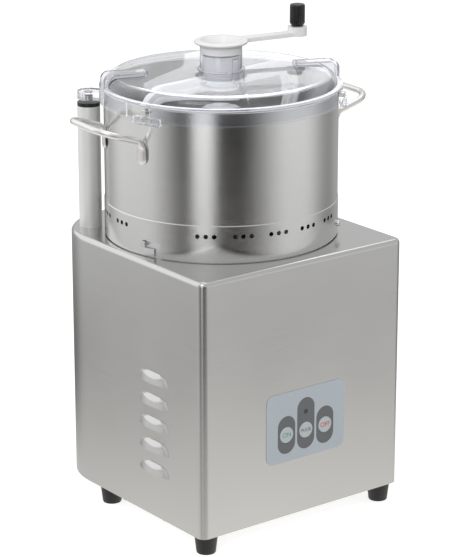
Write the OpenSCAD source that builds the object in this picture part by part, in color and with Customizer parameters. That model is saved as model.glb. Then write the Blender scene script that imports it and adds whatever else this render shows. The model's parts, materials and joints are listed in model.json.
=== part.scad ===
// Bench-top bowl cutter with a hand-turned scraper lid.
// The origin is on the bench plane, on the axis of the bowl. +Z is up and the control panel faces -Y.

/* [Body] */
// How far the body's sides stand out beyond the bowl
side_margin = 10.5; // [7:0.5:20]
// How far the front face stands out beyond the bowl
front_margin = 21.5; // [16:0.5:36]
// How far the rear face stands out beyond the bowl
rear_margin = 22.9; // [17:0.1:36]
// Height of the top face over the bench
body_top = 343; // [335:1:370]
// Height of the gap under the body
foot_h = 24; // [20:1:34]
// Radius of the two rear upright corners
rear_corner_r = 90; // [70:1:100]
// Radius of the two front upright corners
front_corner_r = 10; // [7:1:16]
// Rounding of the edge round the top face
top_edge_r = 6; // [3:0.5:7]
// Thickness of the steel sheet
sheet_t = 1.5; // [1:0.1:2]

/* [Louvres] */
// Number of louvres on the left side
louvre_count = 5; // [1:1:5]
// Distance between louvres
louvre_pitch = 29; // [22:1:32]
// Height of the top line of the highest louvre
louvre_top_z = 210; // [180:1:240]
// Distance of the louvres in front of the bowl axis
louvre_y = 68; // [50:1:75]
// Half width of a louvre at its lip
louvre_half_w = 31; // [24:1:36]
// How far a louvre stands out at its lip
louvre_out = 7; // [4:0.5:9]
// Height of one louvre
louvre_h = 13; // [9:0.5:16]

/* [Feet] */
// Upper diameter of a foot
foot_top_d = 29; // [26:0.5:34]
// Lower diameter of a foot
foot_bottom_d = 23.5; // [20:0.5:25]
// Distance of the feet from the middle, side to side
foot_x = 135; // [120:1:137]
// Distance of the front feet in front of the bowl axis
foot_front_y = 147; // [130:1:148]
// Distance of the rear feet behind the bowl axis
foot_rear_y = 50; // [30:1:70]

/* [Control panel] */
// Width of the panel
panel_w = 120; // [112:1:135]
// Height of the panel
panel_h = 88; // [82:1:100]
// Thickness of the panel sheet
panel_t = 0.8; // [0.4:0.1:1.2]
// Corner radius of the panel
panel_r = 10; // [4:1:14]
// Height of the middle of the panel
panel_z = 139; // [130:1:170]
// Distance between push buttons
button_pitch = 29.7; // [28:0.1:33]
// Diameter of a push button
button_d = 20; // [16:0.5:22]
// Travel of a push button
button_travel = 0.6; // [0.3:0.1:1]
// Width of the dark field round a button
field_w = 26.6; // [25:0.2:28]
// Height of the dark field round an outer button
field_h = 48; // [40:1:56]
// Height of the lamp over the buttons
lamp_rise = 23.6; // [20:0.2:28]
// Diameter of the lamp
lamp_d = 6; // [4:0.5:8]

/* [Bowl] */
// Outer radius of the bowl
bowl_r = 142.5; // [138:0.5:146]
// Thickness of the bowl's wall
bowl_t = 1.5; // [1:0.1:2]
// Height of the bowl's skirt, from its lower edge to the weld line
skirt_h = 44; // [40:1:50]
// Inner height of the bowl, from its floor to its rim
bowl_h = 135.6; // [125:0.2:150]
// How far the skirt stands out beyond the wall
skirt_step = 0.7; // [0.4:0.1:1.2]
// Diameter of a vent hole in the skirt
vent_d = 5.5; // [3:0.5:6.5]
// Height of the vent holes over the skirt's lower edge
vent_rise = 31; // [28:0.5:34]
// Height of the centre tube over the bowl's floor
tube_h = 66; // [50:1:72]
// Outer radius of the centre tube
tube_r = 17.5; // [16.5:0.1:18]

/* [Bayonet] */
// Direction of the first bayonet pin, from the front towards the right
pin_angle = -76.8; // [-80:0.1:-74]
// Radius of a bayonet pin
pin_r = 3.75; // [3:0.05:4.2]
// Height of the bayonet pins over the top face
pin_rise = 15; // [12:0.5:17]
// Angle that the bowl turns to unlock
unlock_angle = 7.6; // [6:0.1:9]

/* [Handles] */
// Diameter of the handle rod
rod_d = 8; // [6:0.2:9]
// Direction of the left handle, from the front towards the right
handle_angle = -95.5; // [-97:0.1:-94]
// Room for the fingers between the bowl and a handle's rod
finger_room = 42.5; // [36:0.5:52]
// Half the distance between a handle's ends
handle_half_w = 46; // [40:1:50]
// Bend radius of a handle's corners
handle_bend_r = 26; // [18:1:32]
// Height of a handle's ends over the bowl's floor
handle_rise = 92; // [84:1:98]
// Upward tilt of a handle
handle_tilt = 18; // [8:1:22]
// Length of a handle's flattened end
handle_pad_h = 25; // [20:1:32]

/* [Lid] */
// Outer radius of the lid's skirt
lid_r = 147.5; // [146.5:0.1:149]
// Thickness of the lid's walls
lid_t = 2.5; // [2:0.1:2.8]
// Height of the lid's skirt
lid_skirt_h = 20.5; // [18:0.5:24]
// Radius of the ring that the lid's shoulder follows
shoulder_ring_r = 127; // [124:0.5:129]
// Rounding of the lid's shoulder
shoulder_r = 13.7; // [12:0.1:14.5]
// Rise of the lid's top from the shoulder to the neck
crown_h = 3.6; // [2:0.1:6]
// Outer radius of the neck
neck_r = 25.5; // [25:0.1:27]
// Height of the neck over the lid's top
neck_h = 20; // [16:0.5:26]
// Outer radius of the guide tube under the lid
guide_r = 29; // [28.5:0.1:31]
// Length of the guide tube under the lid's top
guide_h = 17; // [12:0.5:18]
// Direction of the right grip, from the front towards the right
grip_angle = 67.4; // [60:0.5:75]
// Width of a grip
grip_w = 17; // [12:0.5:22]
// Height of the grips over the shoulder
grip_rise = 7.5; // [5:0.5:10]
// Inner end of a grip, from the bowl axis
grip_start_r = 92; // [80:1:100]
// Direction of the narrow rib on the lid
rib_angle = -24; // [-30:0.5:-18]
// Direction of the first stud that holds the lid
stud_angle = -74.5; // [-77:0.1:-72]
// Radius of a lid stud
stud_r = 4.3; // [3.5:0.1:4.6]
// Angle that the lid turns to unlock
lid_unlock_angle = 10; // [9.5:0.1:12]

/* [Interlock post] */
// Radius of the post
post_r = 14; // [12:0.5:16]
// Height of the post, cap included
post_h = 157; // [150:1:158]
// Gap between the bowl and the post
post_gap = 6.4; // [4.5:0.1:11]
// Direction of the post, from the front towards the right
post_angle = -134.4; // [-136:0.1:-133]

/* [Scraper and crank] */
// Outer radius of the scraper's tube
hub_r = 22.4; // [21.5:0.1:22.6]
// Direction of the first scraper arm, from the front towards the right
arm_angle = 97.4; // [90:0.2:104]
// Outer reach of the scraper's legs
leg_r = 130; // [120:0.5:133]
// Width of a scraper leg
leg_w = 22.5; // [18:0.5:26]
// Height of a scraper's beam
beam_h = 18; // [14:0.5:20]
// Height of a leg's lower end over the bowl's floor
leg_clear = 50; // [46:1:70]
// Outer radius of the funnel's rim
funnel_r = 32.6; // [31:0.1:36]
// Height of the funnel over the neck
funnel_h = 15.5; // [14:0.5:20]
// Bore radius of the funnel's tube
funnel_bore_r = 17.5; // [15:0.1:18]
// Direction of the crank arm, from the front towards the right
crank_angle = 80.4; // [70:0.2:90]
// Length of the crank, axis to knob
crank_len = 105; // [90:1:120]
// Thickness of the crank arm
crank_t = 5; // [4:0.2:7]
// Radius of the boss under the knob
crank_boss_r = 11.8; // [10:0.1:13]
// Height of the boss under the knob
crank_boss_h = 11.5; // [9:0.5:14]
// Radius of the knob
knob_r = 9.3; // [8:0.1:10]
// Height of the knob
knob_h = 27; // [22:0.5:36]

/* [Knives] */
// Reach of the knives
knife_r = 133; // [120:0.5:135]
// Thickness of a blade
blade_t = 2.5; // [2:0.1:3]
// Height of the spacer between the blades
spacer_h = 20; // [14:0.5:24]
// Outer radius of the knife hub
knife_hub_r = 22; // [21.5:0.1:23]
// Radius of the cap on the knife hub
knife_cap_r = 24; // [22.5:0.1:28]

/* [Motor] */
// Radius of the drive shaft
shaft_r = 10; // [9.5:0.1:10.5]
// Outer radius of the motor over its fins
motor_r = 70; // [64:0.5:74]
// Length of the motor's stator
stator_h = 150; // [120:1:160]
// Number of cooling fins round the stator
fin_count = 24; // [12:1:30]
// Outer radius of the upper bearing
bearing_r = 23.5; // [22:0.1:24.5]
// Width of a bearing
bearing_w = 14; // [12:0.5:15]
// Number of fan blades
fan_blades = 8; // [5:1:10]

/* [Hidden] */

// Colours as the photograph shows them
steel = [0.72, 0.72, 0.70];
bright_steel = [0.80, 0.80, 0.80];
aluminium = [0.70, 0.71, 0.71];
clear_plastic = [0.86, 0.86, 0.93, 0.35];
white_plastic = [0.93, 0.93, 0.92];
grey_plastic = [0.70, 0.71, 0.73];
black_rubber = [0.08, 0.08, 0.08];
panel_grey = [0.66, 0.70, 0.73];
field_grey = [0.40, 0.41, 0.42];
button_grey = [0.82, 0.84, 0.86];
board_green = [0.10, 0.35, 0.20];
copper = [0.72, 0.45, 0.25];

// Facets of round forms
$fn = 96;
// Overrun of every cut
over = 1;
// Running gap between a shaft and its bore
run_gap = 0.05;
// Gap of a pressed or screwed piece in its seat
seat_gap = 0.02;
// Gap between a loose piece and its seat
rest_gap = 0.3;
// Gap between pieces that slide past each other
slide_gap = 0.6;
// Number of bayonets round the bowl, and of studs round the rim
bayonets = 3;
bayonet_step = 360 / bayonets;

// Outlines and reaches that follow the bowl
body_w = 2 * (bowl_r + side_margin);
body_front = bowl_r + front_margin;
body_rear = bowl_r + rear_margin;
post_reach = bowl_r + post_gap + post_r;
handle_reach = bowl_r + finger_room + rod_d / 2;

// Levels, from the bench upwards
casing_bottom_z = foot_h;
plate_t = 2;
plate_top_z = foot_h + plate_t;
top_under_z = body_top - sheet_t;
skirt_gap = 1.5;
skirt_bottom_z = body_top + skirt_gap;
weld_z = skirt_bottom_z + skirt_h;
floor_under_z = weld_z - skirt_step;
floor_z = floor_under_z + bowl_t + skirt_step;
rim_z = floor_z + bowl_h;

// Turns a piece to a direction that is counted from the front (-Y) towards the right (+X)
module aim(angle) {
    rotate([0, 0, angle - 90]) children();
}

// Plan of the body, drawn in from its outer faces by inset
module body_outline(inset) {
    half_w = body_w / 2 - inset;
    front = body_front - inset;
    rear = body_rear - inset;
    front_r = max(front_corner_r - inset, over);
    rear_r = rear_corner_r - inset;
    translate([-half_w, -front + front_r]) square([2 * half_w, front + rear - front_r - rear_r]);
    translate([-half_w + front_r, -front]) square([2 * (half_w - front_r), 2 * front_r]);
    translate([-half_w + rear_r, 0]) square([2 * (half_w - rear_r), rear]);
    for (side = [-1, 1]) {
        translate([side * (half_w - front_r), -front + front_r]) circle(front_r);
        translate([side * (half_w - rear_r), rear - rear_r]) circle(rear_r);
    }
}

module rounded_side(width, height, edge_r) {
    square([width, height - edge_r]);
    translate([edge_r, 0]) square([width - 2 * edge_r, height]);
    for (x = [edge_r, width - edge_r]) translate([x, height - edge_r]) circle(edge_r);
}

module rounded_post(radius, height, edge_r) {
    rotate_extrude() intersection() {
        square([radius, height]);
        union() {
            square([radius, height - edge_r]);
            square([radius - edge_r, height]);
            translate([radius - edge_r, height - edge_r]) circle(edge_r);
        }
    }
}

// The same plan from z0 up to z1, with its top edge rounded
module body_block(inset, z0, z1, edge_r) {
    height = z1 - z0;
    width = body_w - 2 * inset;
    depth = body_front + body_rear - 2 * inset;
    rear_r = rear_corner_r - inset;
    front_r = front_corner_r - inset;
    straight = depth - rear_r - front_r;
    rear_w = width - 2 * rear_r;
    front_w = width - 2 * front_r;
    translate([-width / 2, body_rear - rear_corner_r, z0]) rotate([90, 0, 0])
        linear_extrude(straight) rounded_side(width, height, edge_r);
    translate([-rear_w / 2, -body_front + inset, z0]) rotate([90, 0, 90])
        linear_extrude(rear_w) rounded_side(depth, height, edge_r);
    translate([-front_w / 2, -body_front + inset, z0]) rotate([90, 0, 90])
        linear_extrude(front_w) rounded_side(depth - rear_r, height, edge_r);
    for (side = [-1, 1]) {
        translate([side * rear_w / 2, body_rear - rear_corner_r, z0]) rounded_post(rear_r, height, edge_r);
        translate([side * front_w / 2, -body_front + front_corner_r, z0])
            rounded_post(front_r, height, edge_r);
    }
}

// Height of louvre number i at its top line
function louvre_z(i) = louvre_top_z - i * louvre_pitch;
louvre_plan_r = (louvre_half_w * louvre_half_w + louvre_out * louvre_out) / (2 * louvre_out);
// Outline of a hood from its top line to its lip: share of the height, share of the reach
louvre_shares = [[0, 0], [0.07, 0.26], [0.25, 0.67], [0.55, 0.88], [1, 1]];

module louvre_hood(reach, height, base_r) {
    rotate_extrude() polygon(concat(
        [[0, 0]],
        [for (s = louvre_shares) [base_r + s[1] * reach, -s[0] * height]],
        [[0, -height]]
    ));
}

module louvres(inset) {
    for (i = [0 : louvre_count - 1])
        translate([-body_w / 2 - louvre_out + louvre_plan_r, -louvre_y, louvre_z(i)])
            louvre_hood(louvre_out, louvre_h, louvre_plan_r - louvre_out - inset);
}

// The casing's flange that the bottom plate is screwed to
flange_w = 10;
air_hole_r = 11;
air_hole_ring_r = 104;
air_holes = 6;
boss_r = 36;
boss_hole_r = boss_r + rest_gap;
collar_screw_r = 2.5;
collar_w = 14;
collar_screw_ring_r = bowl_r - bowl_t - slide_gap - collar_w / 2;
collar_screws_n = 6;
motor_bolt_r = 4;
motor_bolt_ring_r = 64;
motor_bolts_n = 4;
hole_gap = 0.3;
post_spigot_r = 9;
post_x = post_reach * sin(post_angle);
post_y = -post_reach * cos(post_angle);
plate_screw_r = 2.5;
plate_screw_x = body_w / 2 - sheet_t - flange_w / 2;
plate_screw_ys = [-body_front / 2, 0];

module ring_places(count, radius, offset_angle) {
    for (i = [0 : count - 1]) aim(offset_angle + i * 360 / count) translate([radius, 0, 0]) children();
}

module button_places(z) {
    for (i = [-1 : 1]) translate([panel_x + i * button_pitch, 0, z]) children();
}

panel_x = 2.5;
button_drop = 9.8;
button_z = panel_z - button_drop;
button_hole_r = button_d / 2 + rest_gap;

module across_front(depth_y, length, radius) {
    translate([0, depth_y, 0]) rotate([-90, 0, 0]) cylinder(h = length, r = radius);
}

module casing_inside() {
    body_block(sheet_t, casing_bottom_z - over, top_under_z, top_edge_r - sheet_t);
}

module base_casing() {
    color(steel) difference() {
        union() {
            difference() {
                union() {
                    body_block(0, casing_bottom_z, body_top, top_edge_r);
                    intersection() {
                        louvres(0);
                        translate([-body_w / 2 - louvre_out - over, -body_front, foot_h])
                            cube([louvre_out + over + sheet_t / 2, body_front, body_top]);
                    }
                }
                casing_inside();
            }
            difference() {
                translate([0, 0, plate_top_z + seat_gap])
                    linear_extrude(sheet_t) body_outline(sheet_t / 2);
                translate([0, 0, plate_top_z]) linear_extrude(flange_w) body_outline(sheet_t + flange_w);
            }
        }
        intersection() {
            translate([0, 0, -over]) louvres(sheet_t);
            translate([-body_w / 2 - louvre_out, -body_front, foot_h])
                cube([louvre_out + 2 * sheet_t, body_front, body_top]);
        }
        translate([0, 0, top_under_z - over]) {
            cylinder(h = sheet_t + 2 * over, r = boss_hole_r);
            ring_places(air_holes, air_hole_ring_r, 0) cylinder(h = sheet_t + 2 * over, r = air_hole_r);
            ring_places(collar_screws_n, collar_screw_ring_r, 15)
                cylinder(h = sheet_t + 2 * over, r = collar_screw_r + hole_gap);
            ring_places(motor_bolts_n, motor_bolt_ring_r, 45)
                cylinder(h = sheet_t + 2 * over, r = motor_bolt_r + hole_gap);
            translate([post_x, post_y, 0]) cylinder(h = sheet_t + 2 * over, r = post_spigot_r + hole_gap);
        }
        button_places(button_z) across_front(-body_front - over, sheet_t + 2 * over, button_hole_r);
        translate([panel_x, 0, button_z + lamp_rise])
            across_front(-body_front - over, sheet_t + 2 * over, lamp_d / 2 + hole_gap);
        plate_screw_places(plate_top_z - over) cylinder(h = sheet_t + 2 * over, r = plate_screw_r + hole_gap);
    }
}

module plate_screw_places(z) {
    for (x = [-plate_screw_x, plate_screw_x], y = plate_screw_ys) translate([x, y, z]) children();
}

foot_places = [
    [-foot_x, -foot_front_y], [foot_x, -foot_front_y], [-foot_x, foot_rear_y], [foot_x, foot_rear_y]
];
foot_screw_r = 3;
foot_head_r = 6.5;
foot_head_h = 3;
foot_head_z = foot_h / 2.4;
foot_nut_r = 5.7;
foot_nut_h = 5;
plate_slots = 7;
plate_slot_pitch = 16;
plate_slot_w = 7;
plate_slot_l = 70;
gland_x = 62;
gland_y = 108;
gland_r = 8;
tab_dx = 12;
tab_dy = 31;

module bottom_plate() {
    color(steel) difference() {
        translate([0, 0, casing_bottom_z]) linear_extrude(plate_t) body_outline(sheet_t + rest_gap);
        for (p = foot_places) translate([p[0], p[1], casing_bottom_z - over])
            cylinder(h = plate_t + 2 * over, r = foot_screw_r + hole_gap);
        plate_screw_places(casing_bottom_z - over)
            cylinder(h = plate_t + 2 * over, r = plate_screw_r + hole_gap);
        for (i = [0 : plate_slots - 1])
            translate([-plate_slot_l / 2, (i - (plate_slots - 1) / 2) * plate_slot_pitch, 0])
                translate([0, -plate_slot_w / 2, casing_bottom_z - over])
                    cube([plate_slot_l, plate_slot_w, plate_t + 2 * over]);
        translate([gland_x, gland_y, casing_bottom_z - over])
            cylinder(h = plate_t + 2 * over, r = gland_r + hole_gap);
        clip_screw_places(casing_bottom_z - over)
            cylinder(h = plate_t + 2 * over, r = plate_screw_r + seat_gap);
    }
}

module rubber_feet() {
    color(black_rubber) for (p = foot_places) translate([p[0], p[1], 0]) difference() {
        cylinder(h = foot_h, d1 = foot_bottom_d, d2 = foot_top_d);
        translate([0, 0, -over]) cylinder(h = foot_h + 2 * over, r = foot_screw_r + seat_gap);
        translate([0, 0, -over]) cylinder(h = foot_head_z + over, r = foot_head_r + rest_gap);
    }
}

module foot_screws() {
    color(bright_steel) for (p = foot_places) translate([p[0], p[1], 0]) {
        translate([0, 0, foot_head_z - foot_head_h]) cylinder(h = foot_head_h, r = foot_head_r);
        translate([0, 0, foot_head_z - foot_head_h / 2])
            cylinder(h = plate_top_z + foot_nut_h - foot_head_z + foot_head_h, r = foot_screw_r);
    }
}

module foot_nuts() {
    color(bright_steel) for (p = foot_places) translate([p[0], p[1], plate_top_z]) difference() {
        cylinder(h = foot_nut_h, r = foot_nut_r, $fn = 6);
        translate([0, 0, -over]) cylinder(h = foot_nut_h + 2 * over, r = foot_screw_r + seat_gap);
    }
}

plate_screw_head_r = 4.5;
plate_screw_head_h = 2.5;
plate_screw_l = 9;

module plate_screws() {
    color(bright_steel) {
        plate_screw_places(casing_bottom_z) plate_screw();
        clip_screw_places(casing_bottom_z) plate_screw();
    }
}

module plate_screw() {
    translate([0, 0, -plate_screw_head_h]) cylinder(h = plate_screw_head_h, r = plate_screw_head_r);
    translate([0, 0, -plate_screw_head_h / 2]) cylinder(h = plate_screw_l, r = plate_screw_r);
}

// The collar that the bowl's skirt drops over
skirt_r = bowl_r + skirt_step;
skirt_in_r = skirt_r - bowl_t;
collar_r = skirt_in_r - slide_gap;
collar_in_r = collar_r - collar_w;
collar_h = 25;
pin_z = body_top + pin_rise;
pin_out = 3.2;
pin_root_r = collar_r - collar_w * 0.64;

module bowl_collar() {
    color(aluminium) difference() {
        translate([0, 0, body_top]) cylinder(h = collar_h, r = collar_r, $fn = 180);
        translate([0, 0, body_top - over]) cylinder(h = collar_h + 2 * over, r = collar_in_r, $fn = 180);
        ring_places(bayonets, 0, pin_angle) translate([pin_root_r, 0, pin_z]) rotate([0, 90, 0])
            cylinder(h = collar_r, r = pin_r + seat_gap);
        translate([0, 0, body_top - over]) ring_places(collar_screws_n, collar_screw_ring_r, 15)
            cylinder(h = collar_h / 2 + over, r = collar_screw_r + seat_gap);
    }
}

module bayonet_pins() {
    color(bright_steel) ring_places(bayonets, 0, pin_angle) translate([pin_root_r, 0, pin_z])
        rotate([0, 90, 0]) cylinder(h = skirt_r + pin_out - pin_root_r, r = pin_r);
}

collar_head_r = 4.5;
collar_head_h = 4;

module collar_screws() {
    color(bright_steel) ring_places(collar_screws_n, collar_screw_ring_r, 15) {
        translate([0, 0, top_under_z - collar_head_h]) cylinder(h = collar_head_h, r = collar_head_r);
        translate([0, 0, top_under_z - collar_head_h / 2])
            cylinder(h = sheet_t + (collar_h + collar_head_h) / 2, r = collar_screw_r);
    }
}

// Motor, from the top down
seat_ring_h = 4.6;
boss_top_z = floor_under_z - rest_gap - seat_ring_h - rest_gap;
seal_h = 7;
seal_top_z = boss_top_z - seat_ring_h / 2;
seal_bottom_z = seal_top_z - seal_h;
bearing_z = seal_bottom_z - rest_gap - bearing_w;
flange_t = 12;
motor_flange_z = top_under_z - flange_t;
motor_flange_r = 76;
bore_clear = 3;
flange_bore_r = shaft_r + bore_clear;
stator_z = motor_flange_z - stator_h;
fin_depth = 5;
stator_core_r = motor_r - fin_depth;
rotor_r = 39.5;
air_gap = 0.5;
bell_t = 12;
bell_z = stator_z - bell_t;
bell_boss_r = 28;
bell_boss_h = 10;
bell_floor_t = 4;
lower_shaft_r = shaft_r * 0.85;
lower_bearing_r = bearing_r * 0.85;
lower_bearing_w = bearing_w * 0.86;
lower_bearing_z = bell_z - bell_boss_h + bell_floor_t;
shaft_tail = 48;
shaft_bottom_z = bell_z - shaft_tail;
shaft_end_over_tube = 30;
shaft_top_z = floor_z + tube_h + shaft_end_over_tube;
drive_flat = 8;
drive_h = 24;
fan_rise = 4;
fan_z = shaft_bottom_z + fan_rise;
fan_h = 26;
fan_r = 56;
fan_hub_r = 13;
cover_gap = 14;
cover_z = fan_z - cover_gap;
cover_r = motor_r * 0.94;

module motor_flange() {
    color(aluminium) difference() {
        union() {
            translate([0, 0, motor_flange_z]) cylinder(h = flange_t, r = motor_flange_r);
            translate([0, 0, motor_flange_z]) cylinder(h = boss_top_z - motor_flange_z, r = boss_r);
        }
        translate([0, 0, motor_flange_z - over])
            cylinder(h = boss_top_z - motor_flange_z + 2 * over, r = flange_bore_r);
        translate([0, 0, bearing_z]) cylinder(h = boss_top_z - bearing_z + over, r = bearing_r + seat_gap);
        translate([0, 0, motor_flange_z - over]) ring_places(motor_bolts_n, motor_bolt_ring_r, 45)
            cylinder(h = flange_t + 2 * over, r = motor_bolt_r + seat_gap);
    }
}

motor_head_r = 6.5;
motor_head_h = 5;

module motor_bolts() {
    color(bright_steel) ring_places(motor_bolts_n, motor_bolt_ring_r, 45) difference() {
        union() {
            translate([0, 0, body_top]) cylinder(h = motor_head_h, r = motor_head_r);
            translate([0, 0, motor_flange_z]) cylinder(h = body_top - motor_flange_z + over, r = motor_bolt_r);
        }
        translate([0, 0, body_top + motor_head_h / 2])
            cylinder(h = motor_head_h, r = motor_head_r / 2, $fn = 6);
    }
}

module motor_stator() {
    fin_t = 2.6;
    color(aluminium) translate([0, 0, stator_z]) linear_extrude(stator_h) difference() {
        union() {
            circle(stator_core_r);
            for (i = [0 : fin_count - 1]) rotate(i * 360 / fin_count)
                translate([0, -fin_t / 2]) square([motor_r, fin_t]);
        }
        circle(rotor_r + air_gap);
    }
}

module motor_end_bell() {
    color(aluminium) difference() {
        union() {
            translate([0, 0, bell_z]) cylinder(h = bell_t, r = motor_r);
            translate([0, 0, bell_z - bell_boss_h]) cylinder(h = bell_boss_h + over, r = bell_boss_r);
        }
        translate([0, 0, lower_bearing_z])
            cylinder(h = bell_t + bell_boss_h, r = lower_bearing_r + seat_gap);
        translate([0, 0, bell_z - bell_boss_h - over])
            cylinder(h = bell_t + bell_boss_h, r = lower_shaft_r + bore_clear);
    }
}

module fan_cover() {
    cover_t = 1.5;
    grille_r = 5;
    color(steel) difference() {
        translate([0, 0, cover_z]) cylinder(h = bell_z - cover_z, r = cover_r);
        translate([0, 0, cover_z + cover_t]) cylinder(h = bell_z - cover_z, r = cover_r - cover_t);
        for (ring_r = [cover_r * 0.36, cover_r * 0.62], i = [0 : 11])
            rotate([0, 0, i * 30]) translate([ring_r, 0, cover_z - over])
                cylinder(h = cover_t + 2 * over, r = grille_r);
    }
}

module bearing(z, outer_r, inner_r, width) {
    race_share = 0.3;
    race = (outer_r - inner_r) * race_share;
    groove = 1;
    difference() {
        translate([0, 0, z]) cylinder(h = width, r = outer_r);
        translate([0, 0, z - over]) cylinder(h = width + 2 * over, r = inner_r);
        for (side = [z - over, z + width - groove]) translate([0, 0, side]) difference() {
            cylinder(h = groove + over, r = outer_r - race);
            translate([0, 0, -over]) cylinder(h = groove + 3 * over, r = inner_r + race);
        }
    }
}

module upper_bearing() {
    color(bright_steel) bearing(bearing_z, bearing_r, shaft_r + run_gap, bearing_w);
}

module lower_bearing() {
    color(bright_steel)
        bearing(lower_bearing_z, lower_bearing_r, lower_shaft_r + run_gap, lower_bearing_w);
}

module shaft_seal() {
    color(black_rubber) difference() {
        translate([0, 0, seal_bottom_z]) cylinder(h = seal_h, r = bearing_r);
        translate([0, 0, seal_bottom_z - over]) cylinder(h = seal_h + 2 * over, r = shaft_r + run_gap);
    }
}

module drive_shaft() {
    upper_from_z = lower_bearing_z + bearing_w;
    color(bright_steel) difference() {
        union() {
            translate([0, 0, shaft_bottom_z]) cylinder(h = upper_from_z - shaft_bottom_z, r = lower_shaft_r);
            translate([0, 0, upper_from_z]) cylinder(h = shaft_top_z - upper_from_z, r = shaft_r);
        }
        for (side = [-1, 1]) translate([side * (drive_flat + shaft_r), 0, shaft_top_z - drive_h / 2])
            cube([2 * shaft_r, 4 * shaft_r, drive_h + over], center = true);
    }
}

module motor_rotor() {
    rotor_end = 12;
    color(copper) difference() {
        translate([0, 0, stator_z + rotor_end]) cylinder(h = stator_h - 2 * rotor_end, r = rotor_r);
        translate([0, 0, stator_z]) cylinder(h = stator_h, r = shaft_r + seat_gap);
    }
}

module cooling_fan() {
    fan_blade_t = 2.4;
    fan_disc_t = 3;
    color(black_rubber) difference() {
        union() {
            translate([0, 0, fan_z]) cylinder(h = fan_h, r = fan_hub_r);
            translate([0, 0, fan_z + fan_h - fan_disc_t]) cylinder(h = fan_disc_t, r = fan_r);
            for (i = [0 : fan_blades - 1]) rotate([0, 0, i * 360 / fan_blades])
                translate([0, -fan_blade_t / 2, fan_z]) cube([fan_r, fan_blade_t, fan_h]);
        }
        translate([0, 0, fan_z - over]) cylinder(h = fan_h + 2 * over, r = lower_shaft_r + seat_gap);
    }
}

// Electrics inside the casing
cap_r = 20;
cap_h = 92;
cap_side = 42;
cap_x = body_w / 2 - cap_side;
cap_y = -22;
clip_t = 1.5;
clip_h = 30;
clip_foot = 20;

module clip_screw_places(z) {
    for (x = [cap_x - tab_dx, cap_x + tab_dx]) translate([x, cap_y + tab_dy, z]) children();
}

module run_capacitor() {
    terminal_h = 10;
    color(grey_plastic) {
        translate([cap_x, cap_y, plate_top_z]) cylinder(h = cap_h, r = cap_r);
        for (dx = [-cap_r / 3, cap_r / 3]) translate([cap_x + dx, cap_y, plate_top_z + cap_h - over])
            cylinder(h = terminal_h, r = cap_r / 8);
    }
}

module capacitor_clip() {
    color(steel) difference() {
        union() {
            translate([cap_x, cap_y, plate_top_z]) cylinder(h = clip_h, r = cap_r + seat_gap + clip_t);
            translate([cap_x - cap_r, cap_y, plate_top_z]) cube([2 * cap_r, cap_r + clip_foot, clip_t]);
        }
        translate([cap_x, cap_y, plate_top_z - over]) cylinder(h = clip_h + 2 * over, r = cap_r + seat_gap);
        clip_screw_places(plate_top_z - over) cylinder(h = clip_t + 2 * over, r = plate_screw_r + seat_gap);
    }
}

block_depth = 9;
button_cap_depth = 4;
button_flange_t = 1.2;
button_flange_r = button_d * 0.58;
wall_in_y = -body_front + sheet_t;
block_y = wall_in_y + button_cap_depth;
block_w = 2 * button_pitch + 1.5 * button_d;
block_h = 40;
board_y = block_y + block_depth;
board_t = 1.6;
board_w = 132;
board_h = 96;
board_z = panel_z - board_h / 2;
standoff_r = 4;
standoff_dx = board_w / 2 - 1.75 * standoff_r;
relay_w = 28;
relay_d = 22;
relay_h = 30;
trafo_w = 44;
trafo_d = 34;
trafo_h = 38;

module switch_block() {
    color(grey_plastic)
        translate([panel_x - block_w / 2, block_y, button_z - block_h / 2])
            cube([block_w, block_depth, block_h]);
}

module control_board() {
    color(board_green) {
        translate([panel_x - board_w / 2, board_y, board_z]) cube([board_w, board_t, board_h]);
        for (i = [0 : 1]) translate([panel_x - board_w / 3 + i * relay_w * 1.4, board_y, board_z + board_t])
            cube([relay_w, relay_d, relay_h]);
        translate([panel_x, board_y, board_z + board_h - trafo_h - board_t]) cube([trafo_w, trafo_d, trafo_h]);
    }
}

module board_standoffs() {
    color(bright_steel)
        for (x = [-standoff_dx, standoff_dx], z = [standoff_r * 2, board_h - standoff_r * 2])
            translate([panel_x + x, 0, board_z + z]) across_front(wall_in_y, board_y - wall_in_y, standoff_r);
}

module terminal_block() {
    ways = 5;
    way_r = 2.5;
    row_w = 56;
    row_d = 22;
    row_h = 18;
    row_x = 20;
    row_y = 75;
    color(white_plastic) difference() {
        translate([row_x, row_y, plate_top_z]) cube([row_w, row_d, row_h]);
        for (i = [0 : ways - 1])
            translate([row_x + row_w * (i + 0.5) / ways, row_y + row_d / 2, plate_top_z + row_h / 2])
                cylinder(h = row_h, r = way_r);
    }
}

module cable_gland() {
    gland_out = 9;
    gland_in = 9;
    cable_r = 4.5;
    gland_nut_r = 12;
    color(black_rubber) difference() {
        union() {
            translate([gland_x, gland_y, casing_bottom_z - gland_out])
                cylinder(h = gland_out, r1 = gland_nut_r * 0.75, r2 = gland_nut_r);
            translate([gland_x, gland_y, casing_bottom_z - over]) cylinder(h = plate_t + 2 * over, r = gland_r);
            translate([gland_x, gland_y, plate_top_z]) cylinder(h = gland_in, r = gland_nut_r, $fn = 6);
        }
        translate([gland_x, gland_y, 0]) cylinder(h = body_top / 2, r = cable_r);
    }
}

// Control panel, on the front face
module slab(width, height, radius, thick) {
    across_w = width - 2 * radius;
    across_h = height - 2 * radius;
    rotate([90, 0, 0]) linear_extrude(thick) {
        square([width, across_h], center = true);
        if (across_w > 0) square([across_w, height], center = true);
        for (x = [-across_w / 2, across_w / 2], z = [-across_h / 2, across_h / 2])
            translate([x, z]) circle(radius);
    }
}

mid_field_h = 65.5;
field_gap = 0.05;

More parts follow.
